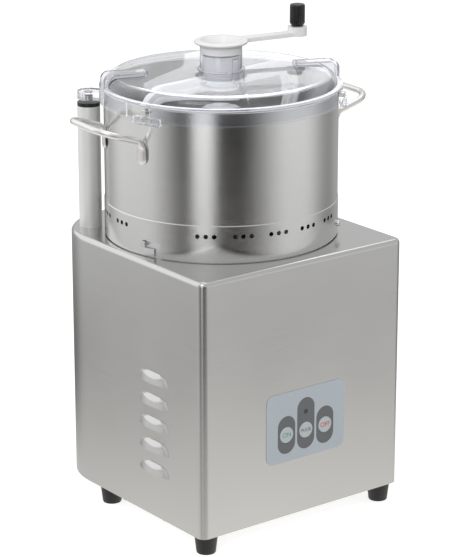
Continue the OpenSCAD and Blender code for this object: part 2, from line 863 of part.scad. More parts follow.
module field_slab(i, grow, y0, thick) {
    height = i == 0 ? mid_field_h : field_h;
    rise = i == 0 ? (mid_field_h - field_h) / 2 : 0;
    translate([panel_x + i * button_pitch, y0, button_z + rise])
        slab(field_w + 2 * grow, height + 2 * grow, field_w / 2 + grow, thick);
}

module panel_sheet() {
    color(panel_grey) difference() {
        translate([panel_x, -body_front, panel_z]) slab(panel_w, panel_h, panel_r, panel_t);
        for (i = [-1 : 1]) field_slab(i, field_gap, -body_front + over, panel_t + 2 * over);
    }
}

module button_fields() {
    color(field_grey) difference() {
        for (i = [-1 : 1]) field_slab(i, 0, -body_front, panel_t);
        button_places(button_z) across_front(-body_front - over, panel_t + 2 * over, button_hole_r);
        button_places(button_z) across_front(-body_front - panel_t - over, panel_t + 2 * over, button_hole_r);
        translate([panel_x, 0, button_z + lamp_rise])
            across_front(-body_front - panel_t - over, panel_t + 2 * over, lamp_d / 2 + seat_gap);
    }
}

module status_lamp() {
    color([0.28, 0.29, 0.30]) translate([panel_x, 0, button_z + lamp_rise]) {
        across_front(-body_front - panel_t, block_y - seat_gap + body_front + panel_t, lamp_d / 2);
    }
}

module push_button(i) {
    face_y = -body_front - panel_t - button_travel;
    edge = 0.3;
    translate([panel_x + i * button_pitch, 0, button_z]) {
        translate([0, face_y, 0]) rotate([-90, 0, 0])
            cylinder(h = edge, r1 = button_d / 2 - edge, r2 = button_d / 2);
        across_front(face_y + edge, block_y - button_travel - rest_gap / 2 - face_y - edge, button_d / 2);
        across_front(wall_in_y + rest_gap / 2, button_flange_t, button_flange_r);
    }
}

module start_button() {
    color(button_grey) push_button(-1);
}

module pulse_button() {
    color(button_grey) push_button(0);
}

module stop_button() {
    color(button_grey) push_button(1);
}

// Interlock post, behind the bowl on the left
cap_t = 4.5;
post_wall = 2.2;
post_bore_r = 4;
post_nut_h = 8;
post_top_z = body_top + post_h - cap_t;
spigot_l = 18;
plug_h = 12;

module interlock_post() {
    color(aluminium) translate([post_x, post_y, 0]) difference() {
        union() {
            translate([0, 0, body_top]) cylinder(h = post_top_z - body_top, r = post_r);
            translate([0, 0, body_top - spigot_l]) cylinder(h = spigot_l + over, r = post_spigot_r);
        }
        translate([0, 0, body_top + plug_h]) cylinder(h = post_h, r = post_r - post_wall);
        translate([0, 0, body_top - spigot_l - over]) cylinder(h = spigot_l + plug_h + 2 * over, r = post_bore_r);
    }
}

module post_cap() {
    color(black_rubber) translate([post_x, post_y, 0]) {
        translate([0, 0, post_top_z]) cylinder(h = cap_t, r = post_r);
        translate([0, 0, post_top_z - plug_h]) cylinder(h = plug_h + over, r = post_r - post_wall - seat_gap);
    }
}

module post_nut() {
    color(bright_steel) translate([post_x, post_y, top_under_z - post_nut_h]) difference() {
        cylinder(h = post_nut_h, r = post_spigot_r * 1.7, $fn = 6);
        translate([0, 0, -over]) cylinder(h = post_nut_h + 2 * over, r = post_spigot_r + seat_gap);
    }
}

module reed_switch() {
    reed_r = 4.5;
    reed_h = 26;
    color(white_plastic) translate([post_x, post_y, post_top_z - plug_h - reed_h])
        cylinder(h = reed_h, r = reed_r);
}

// Bowl
seat_ring_r = boss_r * 0.97;

module bowl_seat_ring() {
    color(black_rubber) difference() {
        translate([0, 0, boss_top_z + rest_gap]) cylinder(h = seat_ring_h, r = seat_ring_r);
        translate([0, 0, boss_top_z]) cylinder(h = seat_ring_h + 2 * over, r = bearing_r + slide_gap);
    }
}

slot_gap = 0.75;
slot_r = pin_r + slot_gap;
vent_group_angle = 17.8;
vent_first_angle = 32.3;
vent_groups = 5;
vent_step = 4;
rim_bead_r = 1.2;

// The wedge between two directions, counted from the front towards the right
module wedge(from_angle, to_angle, in_r, out_r, z0, z1) {
    rotate([0, 0, from_angle - 90]) rotate_extrude(angle = to_angle - from_angle, $fn = 180)
        translate([in_r, z0]) square([out_r - in_r, z1 - z0]);
}

module bayonet_slot(angle) {
    slot_in_r = skirt_in_r - over;
    slot_out_r = skirt_r + over;
    half = asin(slot_r / skirt_r);
    aim(angle) translate([slot_in_r, 0, pin_z]) rotate([0, 90, 0])
        cylinder(h = slot_out_r - slot_in_r, r = slot_r);
    wedge(angle, angle + unlock_angle, slot_in_r, slot_out_r, pin_z - slot_r, pin_z + slot_r);
    wedge(angle + unlock_angle - half, angle + unlock_angle + half, slot_in_r, slot_out_r,
        skirt_bottom_z - over, pin_z + slot_r);
}

module vent_hole(angle) {
    aim(angle) translate([skirt_in_r - over, 0, skirt_bottom_z + vent_rise]) rotate([0, 90, 0])
        cylinder(h = bowl_t + 2 * over, r = vent_d / 2, $fn = 32);
}

module bowl_wall() {
    color(bright_steel) difference() {
        union() {
            translate([0, 0, floor_under_z]) cylinder(h = rim_z - floor_under_z, r = bowl_r, $fn = 180);
            translate([0, 0, skirt_bottom_z]) cylinder(h = skirt_h - skirt_step, r = skirt_r, $fn = 180);
            translate([0, 0, weld_z - skirt_step])
                cylinder(h = skirt_step, r1 = skirt_r, r2 = bowl_r, $fn = 180);
            translate([0, 0, rim_z - rim_bead_r]) rotate_extrude($fn = 180)
                translate([bowl_r, 0]) circle(rim_bead_r, $fn = 24);
        }
        translate([0, 0, floor_under_z - over])
            cylinder(h = bowl_h + skirt_h, r = bowl_r - bowl_t, $fn = 180);
        translate([0, 0, skirt_bottom_z - over])
            cylinder(h = floor_under_z - skirt_bottom_z + over, r = skirt_in_r, $fn = 180);
        for (b = [0 : bayonets - 1]) {
            bayonet_slot(pin_angle + b * bayonet_step);
            for (g = [0 : vent_groups - 1], h = [-1 : 1])
                vent_hole(pin_angle + b * bayonet_step + vent_first_angle + g * vent_group_angle + h * vent_step);
        }
    }
}

module bowl_floor() {
    color(bright_steel) difference() {
        union() {
            translate([0, 0, floor_under_z])
                cylinder(h = floor_z - floor_under_z, r = bowl_r - bowl_t - seat_gap, $fn = 180);
            translate([0, 0, floor_under_z]) cylinder(h = floor_z - floor_under_z + tube_h, r = tube_r);
        }
        translate([0, 0, floor_under_z - over])
            cylinder(h = tube_h + floor_z - floor_under_z + 2 * over, r = tube_r - bowl_t);
    }
}

// Handle: a rod loop in a plane that tilts up and out, with its two ends flattened on the wall
rod_r = rod_d / 2;
handle_root_r = bowl_r + rod_r + seat_gap;
handle_root_x = sqrt(handle_root_r * handle_root_r - handle_half_w * handle_half_w);
handle_z = floor_z + handle_rise;
handle_out = (handle_reach - handle_root_x) / cos(handle_tilt);
pad_t = 4;
pad_w = 9.5;

module rod(length) {
    rotate([0, 90, 0]) cylinder(h = length, r = rod_r, $fn = 32);
}

module handle() {
    leg_l = handle_out - handle_bend_r;
    bar_half = handle_half_w - handle_bend_r;
    translate([handle_root_x, 0, handle_z]) rotate([0, -handle_tilt, 0]) {
        for (side = [-1, 1]) {
            translate([-rod_r / 2, side * handle_half_w, 0]) rod(leg_l + rod_r / 2);
            translate([leg_l, side * bar_half, 0])
                rotate([0, 0, side > 0 ? 0 : -90]) rotate_extrude(angle = 90, $fn = 64)
                    translate([handle_bend_r, 0]) circle(rod_r, $fn = 32);
        }
        translate([handle_out, -bar_half, 0]) rotate([0, 0, 90]) rod(2 * bar_half);
    }
    for (side = [-1, 1]) rotate([0, 0, side * asin(handle_half_w / handle_root_r)])
        translate([bowl_r + seat_gap, 0, handle_z]) {
            translate([0, -pad_w / 2, -handle_pad_h]) cube([pad_t, pad_w, handle_pad_h]);
            for (z = [-handle_pad_h, 0]) translate([0, 0, z]) rotate([0, 90, 0])
                cylinder(h = pad_t, r = pad_w / 2, $fn = 32);
        }
}

module left_handle() {
    color(bright_steel) aim(handle_angle) handle();
}

module right_handle() {
    color(bright_steel) aim(handle_angle + 180) handle();
}

// Studs on the bowl that the lid's lugs turn under
stud_z = rim_z - 2 * rim_bead_r - rest_gap - stud_r;
stud_out = 3;
stud_out_r = lid_r + stud_out;

module lid_studs() {
    color(bright_steel) ring_places(bayonets, 0, stud_angle)
        translate([bowl_r + seat_gap, 0, stud_z]) rotate([0, 90, 0])
            cylinder(h = stud_out_r - bowl_r - seat_gap, r = stud_r);
}

// Knife set, which sits on the end of the shaft
knife_gap = 1.3;
knife_z = floor_z + knife_gap;
hub_flange_r = 32;
hub_flange_t = 4.5;
lower_blade_z = knife_z + hub_flange_t;
spacer_z = lower_blade_z + blade_t;
upper_blade_z = spacer_z + spacer_h;
nut_z = upper_blade_z + blade_t;
blade_nut_h = 8;
blade_eye_r = 34;
hub_end_t = 10;
knife_hub_top_z = shaft_top_z + hub_end_t;
sleeve_r = tube_r + slide_gap;
drive_from_z = shaft_top_z - drive_h;

module knife_hub() {
    color(bright_steel) difference() {
        union() {
            translate([0, 0, knife_z]) cylinder(h = hub_flange_t, r = hub_flange_r);
            translate([0, 0, knife_z]) cylinder(h = knife_hub_top_z - knife_z, r = knife_hub_r);
        }
        translate([0, 0, knife_z - over]) cylinder(h = floor_z + tube_h + rest_gap * 2 - knife_z + over, r = sleeve_r);
        translate([0, 0, knife_z]) cylinder(h = drive_from_z - knife_z, r = shaft_r + run_gap);
        intersection() {
            translate([0, 0, drive_from_z - over])
                cylinder(h = drive_h + over + rest_gap, r = shaft_r + run_gap);
            translate([0, 0, drive_from_z + drive_h / 2])
                cube([2 * (drive_flat + run_gap), 4 * shaft_r, drive_h * 2], center = true);
        }
    }
}

// A sickle: the crescent between two arcs, from the eye to the tip
tip_shares = [0.5, 0.62];

module sickle() {
    intersection() {
        difference() {
            translate([knife_r * tip_shares[0], 0]) circle(knife_r * tip_shares[0]);
            translate([knife_r * tip_shares[1], -knife_r * 0.27]) circle(knife_r * 0.47);
        }
        circle(knife_r);
        translate([0, -knife_r / 3]) square([knife_r, knife_r * 2]);
    }
}

module blade(z) {
    translate([0, 0, z]) linear_extrude(blade_t) difference() {
        union() {
            circle(blade_eye_r);
            for (turn = [0, 180]) rotate(turn) sickle();
        }
        circle(knife_hub_r + seat_gap);
    }
}

module lower_blade() {
    color(bright_steel) blade(lower_blade_z);
}

module upper_blade() {
    color(bright_steel) rotate([0, 0, 90]) blade(upper_blade_z);
}

module blade_spacer() {
    color(bright_steel) difference() {
        translate([0, 0, spacer_z]) cylinder(h = spacer_h, r = hub_flange_r * 0.9);
        translate([0, 0, spacer_z - over]) cylinder(h = spacer_h + 2 * over, r = knife_hub_r + seat_gap);
    }
}

module blade_nut() {
    notch = 5;
    color(bright_steel) difference() {
        translate([0, 0, nut_z]) cylinder(h = blade_nut_h, r = hub_flange_r);
        translate([0, 0, nut_z - over]) cylinder(h = blade_nut_h + 2 * over, r = knife_hub_r + seat_gap);
        for (i = [0 : 5]) rotate([0, 0, i * 60]) translate([hub_flange_r, 0, nut_z - over])
            cylinder(h = blade_nut_h + 2 * over, r = notch);
    }
}

module knife_cap() {
    knife_cap_h = 5;
    grip_r = 10.5;
    grip_h = 4;
    color(white_plastic) translate([0, 0, knife_hub_top_z]) {
        cylinder(h = knife_cap_h, r1 = knife_cap_r, r2 = knife_cap_r * 0.8);
        cylinder(h = knife_cap_h + grip_h, r = grip_r);
        cylinder(h = knife_cap_h + 1.3 * grip_h, r = grip_r / 3);
    }
}

// Lid
seal_t = 0.8;
seal_z = rim_z + rest_gap;
ledge_z = seal_z + seal_t + rest_gap;
lid_in_r = lid_r - lid_t;
skirt_low_z = ledge_z + lid_t - lid_skirt_h;
shoulder_sink = 1.7;
shoulder_z = ledge_z + lid_t - shoulder_sink;
shoulder_top_z = shoulder_z + shoulder_r;
crown_z = shoulder_top_z + crown_h;
neck_top_z = crown_z + neck_h;
neck_in_r = hub_r + slide_gap;
lug_h = 8.5;
lug_top_z = stud_z - stud_r - rest_gap;
lug_out = 5.5;
lug_out_r = lid_r + lug_out;
lug_angle = 14.6;
lug_lead_angle = 5.5;
ear_r = 14;
ear_gap = 4;
ear_z = body_top + post_h + ear_gap;
ear_h = 10;
magnet_r = 5;
magnet_h = 5;

// Half section of the lid's outer or inner skin, down to the ledge's underside
module lid_skin(shrink) {
    ring_r = shoulder_r - shrink;
    translate([shoulder_ring_r, shoulder_z]) circle(ring_r);
    translate([0, ledge_z - over]) square([shoulder_ring_r + ring_r, shoulder_z - ledge_z + over]);
    polygon([
        [0, shoulder_z], [shoulder_ring_r, shoulder_z], [shoulder_ring_r, shoulder_z + ring_r],
        [neck_r, crown_z - shrink], [0, crown_z - shrink]
    ]);
}

module lid_shell() {
    rotate_extrude($fn = 180) difference() {
        union() {
            intersection() {
                lid_skin(0);
                translate([0, ledge_z]) square([lid_r, body_top]);
            }
            translate([0, ledge_z]) square([lid_r - over, lid_t]);
            translate([0, ledge_z]) square([lid_r, lid_t - over]);
            translate([lid_r - over, ledge_z + lid_t - over]) circle(over, $fn = 32);
            translate([lid_in_r, skirt_low_z]) square([lid_t, ledge_z - skirt_low_z + over]);
        }
        lid_skin(lid_t);
    }
}

module grip_block(shrink) {
    top_z = shoulder_top_z + grip_rise - shrink;
    from_r = grip_start_r + shrink;
    to_r = lid_r - shrink - over / 2;
    end_r = 9;
    width = grip_w - 2 * shrink;
    intersection() {
        translate([from_r, width / 2, 0]) rotate([90, 0, 0]) linear_extrude(width) {
            translate([0, ledge_z + lid_t / 2])
                square([to_r - from_r - end_r, top_z - ledge_z - lid_t / 2]);
            translate([0, ledge_z + lid_t / 2])
                square([to_r - from_r, top_z - end_r - ledge_z - lid_t / 2]);
            translate([to_r - from_r - end_r, top_z - end_r]) circle(end_r);
        }
        translate([0, 0, ledge_z]) cylinder(h = body_top, r = lid_r, $fn = 180);
    }
}

module lid_lug(angle) {
    pocket_share = 0.22;
    difference() {
        wedge(angle, angle + lug_angle, lid_in_r + over, lug_out_r, lug_top_z - lug_h, lug_top_z);
        for (i = [0 : 2]) wedge(
            angle + lug_angle * (0.1 + i * 0.3), angle + lug_angle * (0.1 + i * 0.3 + pocket_share),
            lid_r + over, lug_out_r + over, lug_top_z - lug_h + over, lug_top_z - over
        );
    }
}

module lid_window(angle) {
    stud_half = asin((stud_r + slide_gap) / lid_r);
    wedge(angle - lid_unlock_angle - stud_half, angle + stud_half + 1, lid_in_r - over, lid_r + over,
        lug_top_z, ledge_z);
    wedge(angle - lid_unlock_angle - stud_half, angle - lug_lead_angle, lid_in_r - over, lid_r + over,
        skirt_low_z - over, ledge_z);
}

module lid_ear() {
    notch_w = 2;
    aim(post_angle) difference() {
        union() {
            translate([post_reach, 0, ear_z]) cylinder(h = ear_h, r = ear_r);
            translate([lid_in_r + over, -ear_r * 0.85, ear_z])
                cube([post_reach - lid_in_r - over, ear_r * 1.7, ear_h]);
        }
        translate([post_reach, 0, ear_z - over]) cylinder(h = magnet_h + over, r = magnet_r + seat_gap);
        for (i = [-3 : 3]) rotate_at(post_reach, i * 26) translate([ear_r, 0, ear_z + over])
            cylinder(h = ear_h - 2 * over, r = notch_w, $fn = 24);
        translate([0, 0, ear_z - over]) cylinder(h = ear_h + 2 * over, r = lid_in_r, $fn = 180);
    }
}

module rotate_at(reach, angle) {
    translate([reach, 0, 0]) rotate([0, 0, angle]) children();
}

rib_w = 3;
rib_rise = 1.2;

module lid_rib() {
    aim(rib_angle) intersection() {
        translate([neck_r, -rib_w / 2, 0]) cube([lid_r - neck_r - over, rib_w, 2 * body_top]);
        rotate_extrude($fn = 180) difference() {
            translate([0, rib_rise]) intersection() {
                lid_skin(0);
                translate([0, ledge_z]) square([lid_r, body_top]);
            }
            lid_skin(lid_t / 2);
        }
    }
}

module lid() {
    color(clear_plastic) difference() {
        union() {
            difference() {
                lid_shell();
                for (side = [0, 180]) aim(grip_angle + side) grip_block(lid_t);
            }
            for (side = [0, 180]) aim(grip_angle + side) difference() {
                grip_block(0);
                grip_block(lid_t);
                translate([0, 0, ledge_z - over]) rotate_extrude($fn = 180)
                    translate([0, over - ledge_z]) lid_skin(lid_t);
            }
            lid_rib();
            translate([0, 0, crown_z - lid_t]) cylinder(h = neck_top_z - crown_z + lid_t, r = neck_r);
            translate([0, 0, crown_z - guide_h]) cylinder(h = guide_h + lid_t / 2, r = guide_r);
            for (b = [0 : bayonets - 1]) lid_lug(stud_angle - lug_lead_angle + b * bayonet_step);
            lid_ear();
        }
        translate([0, 0, crown_z - guide_h - over]) cylinder(h = guide_h - lid_t + over, r = guide_r - lid_t);
        translate([0, 0, crown_z - guide_h]) cylinder(h = guide_h + neck_h + over, r = neck_in_r);
        for (b = [0 : bayonets - 1]) lid_window(stud_angle + b * bayonet_step);
    }
}

module lid_seal() {
    color(white_plastic) difference() {
        translate([0, 0, seal_z]) cylinder(h = seal_t, r = lid_in_r - rest_gap, $fn = 180);
        translate([0, 0, seal_z - over])
            cylinder(h = seal_t + 2 * over, r = shoulder_ring_r + shoulder_r - lid_t + rest_gap, $fn = 180);
    }
}

module lid_magnet() {
    color(bright_steel) aim(post_angle) translate([post_reach, 0, ear_z]) cylinder(h = magnet_h, r = magnet_r);
}

// Scraper, which hangs in the neck
funnel_z = neck_top_z + rest_gap;
hub_drop = 2;
hub_foot = 8;
hub_top_z = neck_top_z - hub_drop;
hub_bottom_z = crown_z - guide_h - hub_foot;
hub_t = 2.6;
beam_gap = 0.9;
beam_top_z = shoulder_top_z - lid_t - beam_gap;
arm_t = 4;
flange_rib_w = 5;
flange_rib_t = 9;
leg_bottom_z = floor_z + leg_clear;
arm_out_r = 32;
arm_in_r = 14;
tongue_angle = 24.6;
tongue_half = 25.4;
slit_angle = 1.6;
slit_w = 1;

// Side view of one arm, from the tube to the leg's lower end
module arm_outline(trim_out, trim_in) {
    outer_x = leg_r - trim_out;
    outer_z = beam_top_z - trim_out;
    inner_x = leg_r - leg_w + trim_in;
    inner_z = beam_top_z - beam_h + trim_in;
    bend_r = arm_out_r - trim_out;
    hollow_r = arm_in_r + trim_in;
    difference() {
        union() {
            translate([hub_r - hub_t / 2, leg_bottom_z])
                square([outer_x - bend_r - hub_r + hub_t / 2, outer_z - leg_bottom_z]);
            translate([hub_r, leg_bottom_z]) square([outer_x - hub_r, outer_z - bend_r - leg_bottom_z]);
            translate([outer_x - bend_r, outer_z - bend_r]) circle(bend_r);
        }
        translate([0, leg_bottom_z - over])
            square([inner_x - hollow_r, inner_z - leg_bottom_z + over]);
        translate([0, leg_bottom_z - over])
            square([inner_x, inner_z - hollow_r - leg_bottom_z + over]);
        translate([inner_x - hollow_r, inner_z - hollow_r]) circle(hollow_r);
    }
}

module arm_layer(thick) {
    translate([0, thick / 2, 0]) rotate([90, 0, 0]) linear_extrude(thick) children();
}

module scraper_arm() {
    arm_layer(arm_t) arm_outline(0, 0);
    arm_layer(flange_rib_t) difference() {
        arm_outline(0, 0);
        arm_outline(flange_rib_w, -over);
    }
    arm_layer(flange_rib_t) difference() {
        arm_outline(flange_rib_w + leg_w / 4, 0);
        arm_outline(flange_rib_w + leg_w / 2, -over);
    }
}

module scraper() {
    slit_z = hub_top_z - hub_t;
    slit_in_r = hub_r - hub_t - over;
    color(white_plastic) difference() {
        union() {
            translate([0, 0, hub_bottom_z]) cylinder(h = hub_top_z - hub_bottom_z, r = hub_r);
            difference() {
                for (side = [0, 180]) aim(arm_angle + side) scraper_arm();
                translate([0, 0, crown_z - guide_h - slide_gap])
                    cylinder(h = guide_h, r = guide_r + slide_gap);
            }
        }
        translate([0, 0, hub_bottom_z - over])
            cylinder(h = hub_top_z - hub_bottom_z + 2 * over, r = hub_r - hub_t);
        for (side = [-1, 1]) wedge(
            tongue_angle + side * tongue_half - slit_angle, tongue_angle + side * tongue_half + slit_angle,
            slit_in_r, hub_r + over, hub_bottom_z + hub_foot, slit_z
        );
        wedge(tongue_angle - tongue_half, tongue_angle + tongue_half,
            slit_in_r, hub_r + over, slit_z - slit_w, slit_z);
    }
}

rim_t = 4.5;
funnel_top_z = funnel_z + funnel_h;
throat_r = 25.6;
flare_r = funnel_r - throat_r;
mouth_r = 24.6;
spigot_r = hub_r - hub_t - rest_gap;
spigot_h = 20;

// Half section of the funnel
module funnel_section() {
    difference() {
        union() {
            translate([0, funnel_z]) square([throat_r, funnel_h]);
            translate([0, funnel_top_z - rim_t]) square([funnel_r - rim_t / 2, rim_t]);
            translate([funnel_r - rim_t / 2, funnel_top_z - rim_t / 2]) circle(rim_t / 2, $fn = 32);
            difference() {
                translate([0, funnel_top_z - rim_t / 2 - flare_r]) square([funnel_r - rim_t / 4, flare_r]);
                translate([funnel_r, funnel_top_z - rim_t / 2 - flare_r]) circle(flare_r);
            }
            translate([0, funnel_z - spigot_h]) square([spigot_r, spigot_h + over]);
        }
        translate([0, funnel_z - spigot_h - over]) square([funnel_bore_r, spigot_h + funnel_h + 2 * over]);
        polygon([
            [0, funnel_z + rim_t / 2], [funnel_bore_r, funnel_z + rim_t / 2],
            [mouth_r, funnel_top_z - rim_t / 3], [mouth_r + rim_t / 4, funnel_top_z + over],
            [0, funnel_top_z + over]
        ]);
    }
}

arm_root_w = 19;
arm_end_w = 16;
crank_z = funnel_top_z - crank_t;
boss_top = crank_z + crank_boss_h;
knob_pin_r = 3.2;

module funnel_crank() {
    root_x = mouth_r + rim_t;
    color(white_plastic) {
        rotate_extrude() funnel_section();
        aim(crank_angle) difference() {
            union() {
                translate([0, 0, crank_z]) linear_extrude(crank_t) polygon([
                    [root_x, -arm_root_w / 2], [crank_len, -arm_end_w / 2],
                    [crank_len, arm_end_w / 2], [root_x, arm_root_w / 2]
                ]);
                translate([crank_len, 0, crank_z]) cylinder(h = crank_boss_h, r = crank_boss_r);
            }
            translate([crank_len, 0, crank_z + crank_t / 2])
                cylinder(h = crank_boss_h + crank_t, r = knob_pin_r + seat_gap);
        }
    }
}

knob_z = boss_top + rest_gap;
knob_bore_h = knob_h * 0.78;

module knob_pin() {
    color(bright_steel) aim(crank_angle) translate([crank_len, 0, crank_z + crank_t / 2])
        cylinder(h = knob_z + knob_bore_h - rest_gap - crank_z - crank_t / 2, r = knob_pin_r);
}

module crank_knob() {
    knob_foot_r = knob_r * 0.78;
    knob_foot_h = 3.4;
    top_round = 1.4;
    color(black_rubber) aim(crank_angle) translate([crank_len, 0, knob_z]) difference() {
        rotate_extrude() {
            polygon([
                [0, 0], [knob_foot_r, 0], [knob_foot_r, knob_foot_h / 3], [knob_r, knob_foot_h],
                [knob_r, knob_h - top_round], [knob_r - top_round, knob_h - top_round], [0, knob_h - top_round]
            ]);
            translate([0, knob_h - top_round - over]) square([knob_r - top_round, top_round + over]);
            translate([knob_r - top_round, knob_h - top_round]) circle(top_round, $fn = 32);
        }
        translate([0, 0, -over]) cylinder(h = knob_bore_h + over, r = knob_pin_r + run_gap);
    }
}

base_casing();
bottom_plate();
rubber_feet();
foot_screws();
foot_nuts();
plate_screws();
bowl_collar();
bayonet_pins();
collar_screws();
motor_flange();
motor_bolts();
motor_stator();
motor_end_bell();
fan_cover();
upper_bearing();
lower_bearing();
shaft_seal();
drive_shaft();
motor_rotor();
cooling_fan();
run_capacitor();
capacitor_clip();
control_board();
board_standoffs();
switch_block();
terminal_block();
cable_gland();
panel_sheet();
button_fields();
status_lamp();
start_button();
pulse_button();
stop_button();
interlock_post();
post_cap();
post_nut();
reed_switch();
bowl_seat_ring();
bowl_wall();
bowl_floor();
left_handle();
right_handle();
lid_studs();
knife_hub();
lower_blade();
blade_spacer();
upper_blade();
blade_nut();
knife_cap();
lid_seal();
lid();
lid_magnet();
scraper();
funnel_crank();
knob_pin();
crank_knob();
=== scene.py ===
# %% [markdown]
# A bench-top bowl cutter: a steel motor base with three push buttons carries a steel bowl, and
# a clear lid with a cranked scraper closes it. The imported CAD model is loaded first. It is the
# fixed frame that every piece here is built around. The pieces could be placed by eye instead,
# but then they would no longer fit the joints of the real part.

# %% Load the frame
import json
import math

import bmesh
import bpy
from mathutils import Matrix, Quaternion, Vector

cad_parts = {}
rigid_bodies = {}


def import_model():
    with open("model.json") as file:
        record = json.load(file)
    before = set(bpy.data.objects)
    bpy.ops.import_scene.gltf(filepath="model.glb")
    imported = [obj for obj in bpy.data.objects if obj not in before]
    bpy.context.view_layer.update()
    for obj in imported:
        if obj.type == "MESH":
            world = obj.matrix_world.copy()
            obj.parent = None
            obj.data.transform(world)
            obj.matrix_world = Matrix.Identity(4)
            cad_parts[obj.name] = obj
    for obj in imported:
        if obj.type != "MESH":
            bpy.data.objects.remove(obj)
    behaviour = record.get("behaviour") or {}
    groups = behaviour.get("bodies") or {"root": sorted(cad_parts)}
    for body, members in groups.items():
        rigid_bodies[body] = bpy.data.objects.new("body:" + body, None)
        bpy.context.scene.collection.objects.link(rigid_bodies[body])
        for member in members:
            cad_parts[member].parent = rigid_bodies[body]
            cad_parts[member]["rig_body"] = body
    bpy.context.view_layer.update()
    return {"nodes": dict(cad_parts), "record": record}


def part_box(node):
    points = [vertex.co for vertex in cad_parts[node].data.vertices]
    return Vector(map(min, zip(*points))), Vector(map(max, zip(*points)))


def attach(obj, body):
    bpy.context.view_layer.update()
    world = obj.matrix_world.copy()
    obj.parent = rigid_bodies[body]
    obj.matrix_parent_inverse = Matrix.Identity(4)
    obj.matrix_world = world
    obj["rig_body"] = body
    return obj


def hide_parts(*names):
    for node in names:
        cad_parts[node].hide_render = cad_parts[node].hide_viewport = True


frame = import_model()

MM = 0.001
NODES = frame["nodes"]
SLOT_OF = {part["node"]: part["material_slot"] for part in frame["record"]["subparts"]}

# %% [markdown]
# A catalogue picture of such a machine is taken from high in front and to the left, with a long
# lens, so that upright edges stay nearly parallel. The camera could be set by trial, but it was
# fitted to the photograph instead, because every visible size was measured through it.

# %% Camera
CAMERA_AT = Vector((-1.7129, -2.2611, 1.1775))
CAMERA_LOOKS_AT = Vector((0.021174, 0.0, 0.275515))
CAMERA_LENS = 155.14
CAMERA_FILM_WIDTH = 36
scene = bpy.context.scene


def link(obj):
    scene.collection.objects.link(obj)
    return obj


def aim(obj, place, target):
    obj.location = place
    obj.rotation_euler = (target - Vector(place)).to_track_quat("-Z", "Y").to_euler()


camera_data = bpy.data.cameras.new("camera")
camera_data.lens = CAMERA_LENS
camera_data.sensor_width = CAMERA_FILM_WIDTH
camera = link(bpy.data.objects.new("camera", camera_data))
aim(camera, CAMERA_AT, CAMERA_LOOKS_AT)
scene.camera = camera
scene.view_settings.view_transform = "Standard"
print("camera at", tuple(round(v, 3) for v in CAMERA_AT))

# %% [markdown]
# Finishes and the studio are shader trees. They are long to write node by node, so a few small
# helpers build them. A helper adds a node and sets its inputs by name, or by number where names
# repeat: a plain value is typed in, and a socket is linked.


# %% Helpers for shader trees
def set_inputs(tree, node, inputs):
    for key, value in inputs.items():
        by_number = key[0] == "i" and key[1:].isdigit()
        socket = node.inputs[int(key[1:]) if by_number else key.replace("_", " ")]
        if isinstance(value, bpy.types.NodeSocket):
            tree.links.new(value, socket)
        else:
            socket.default_value = value


def add(tree, kind, out=0, props=None, **inputs):
    node = tree.nodes.new(kind)
    for key, value in (props or {}).items():
        setattr(node, key, value)
    set_inputs(tree, node, inputs)
    return node if out is None else node.outputs[out]


def calc(tree, operation, *values):
    return add(tree, "ShaderNodeMath", props={"operation": operation},
               **{f"i{k}": v for k, v in enumerate(values)})


def ramp(tree, value, low, high, to_low, to_high, smooth=False):
    kind = "SMOOTHSTEP" if smooth else "LINEAR"
    return add(tree, "ShaderNodeMapRange", props={"interpolation_type": kind},
               i0=value, i1=low, i2=high, i3=to_low, i4=to_high)


def blend(tree, share, first, second):
    return add(tree, "ShaderNodeMix", props={"data_type": "FLOAT"}, i0=share, i2=first, i3=second)


def tint(tree, share, first, second):
    return add(tree, "ShaderNodeMix", 2, props={"data_type": "RGBA"}, i0=share, i6=first, i7=second)


def multiply_vectors(tree, first, second):
    return add(tree, "ShaderNodeVectorMath", props={"operation": "MULTIPLY"}, i0=first, i1=second)


def rgba(colour):
    return (*colour, 1.0)


# %% [markdown]
# Polished and brushed steel show nothing of their own: what is seen is the studio. Its soft
# boxes could be glowing sheets, but the lid would show them too, and each would have to stay out
# of the export. So they are drawn in the world: wide ones left and right, a narrow strip near
# the camera, and dark felt between them. Directions are in degrees from the camera's own, and a
# height is the upright part of a direction of length one.

# %% Soft boxes
# An edge fades over heights: the lower one, the higher one, and the share of the light that is
# left below and above them
BOX_EDGE = (-0.325, -0.265, 0.43, 1.0)
STRIP_EDGE = (-0.302, -0.258, 0.06, 1.0)
# Direction, half width of the even part, half width at the foot, strength, lower edge
SOFT_BOXES = (
    (-93, 16, 56, 0.88, BOX_EDGE),
    (-45, 4, 22, 0.14, STRIP_EDGE),
    (-17, 4, 17, 1.42, STRIP_EDGE),
    (78, 8, 62, 0.88, BOX_EDGE),
)
FELT_LEVEL = 0.02
# Behind the machine the felt gives way to a pale wall: where it begins and where it is full
REAR_LEVEL = 0.42
REAR_FROM = 105
REAR_FULL = 150


def band(tree, direction, centre, even, foot, strength):
    away = calc(tree, "ABSOLUTE", calc(tree, "SUBTRACT", direction, math.radians(centre)))
    return ramp(tree, away, math.radians(even), math.radians(foot), strength, 0.0, True)


def soft_boxes(tree, direction, height):
    wall = ramp(tree, calc(tree, "ABSOLUTE", direction), math.radians(REAR_FROM),
                math.radians(REAR_FULL), FELT_LEVEL, FELT_LEVEL + REAR_LEVEL, True)
    level = calc(tree, "MULTIPLY", wall, ramp(tree, height, *BOX_EDGE, True))
    for *shape, edge in SOFT_BOXES:
        above_edge = ramp(tree, height, *edge, True)
        glow = calc(tree, "MULTIPLY", band(tree, direction, *shape), above_edge)
        level = calc(tree, "ADD", level, glow)
    return level


print("soft boxes:", len(SOFT_BOXES))

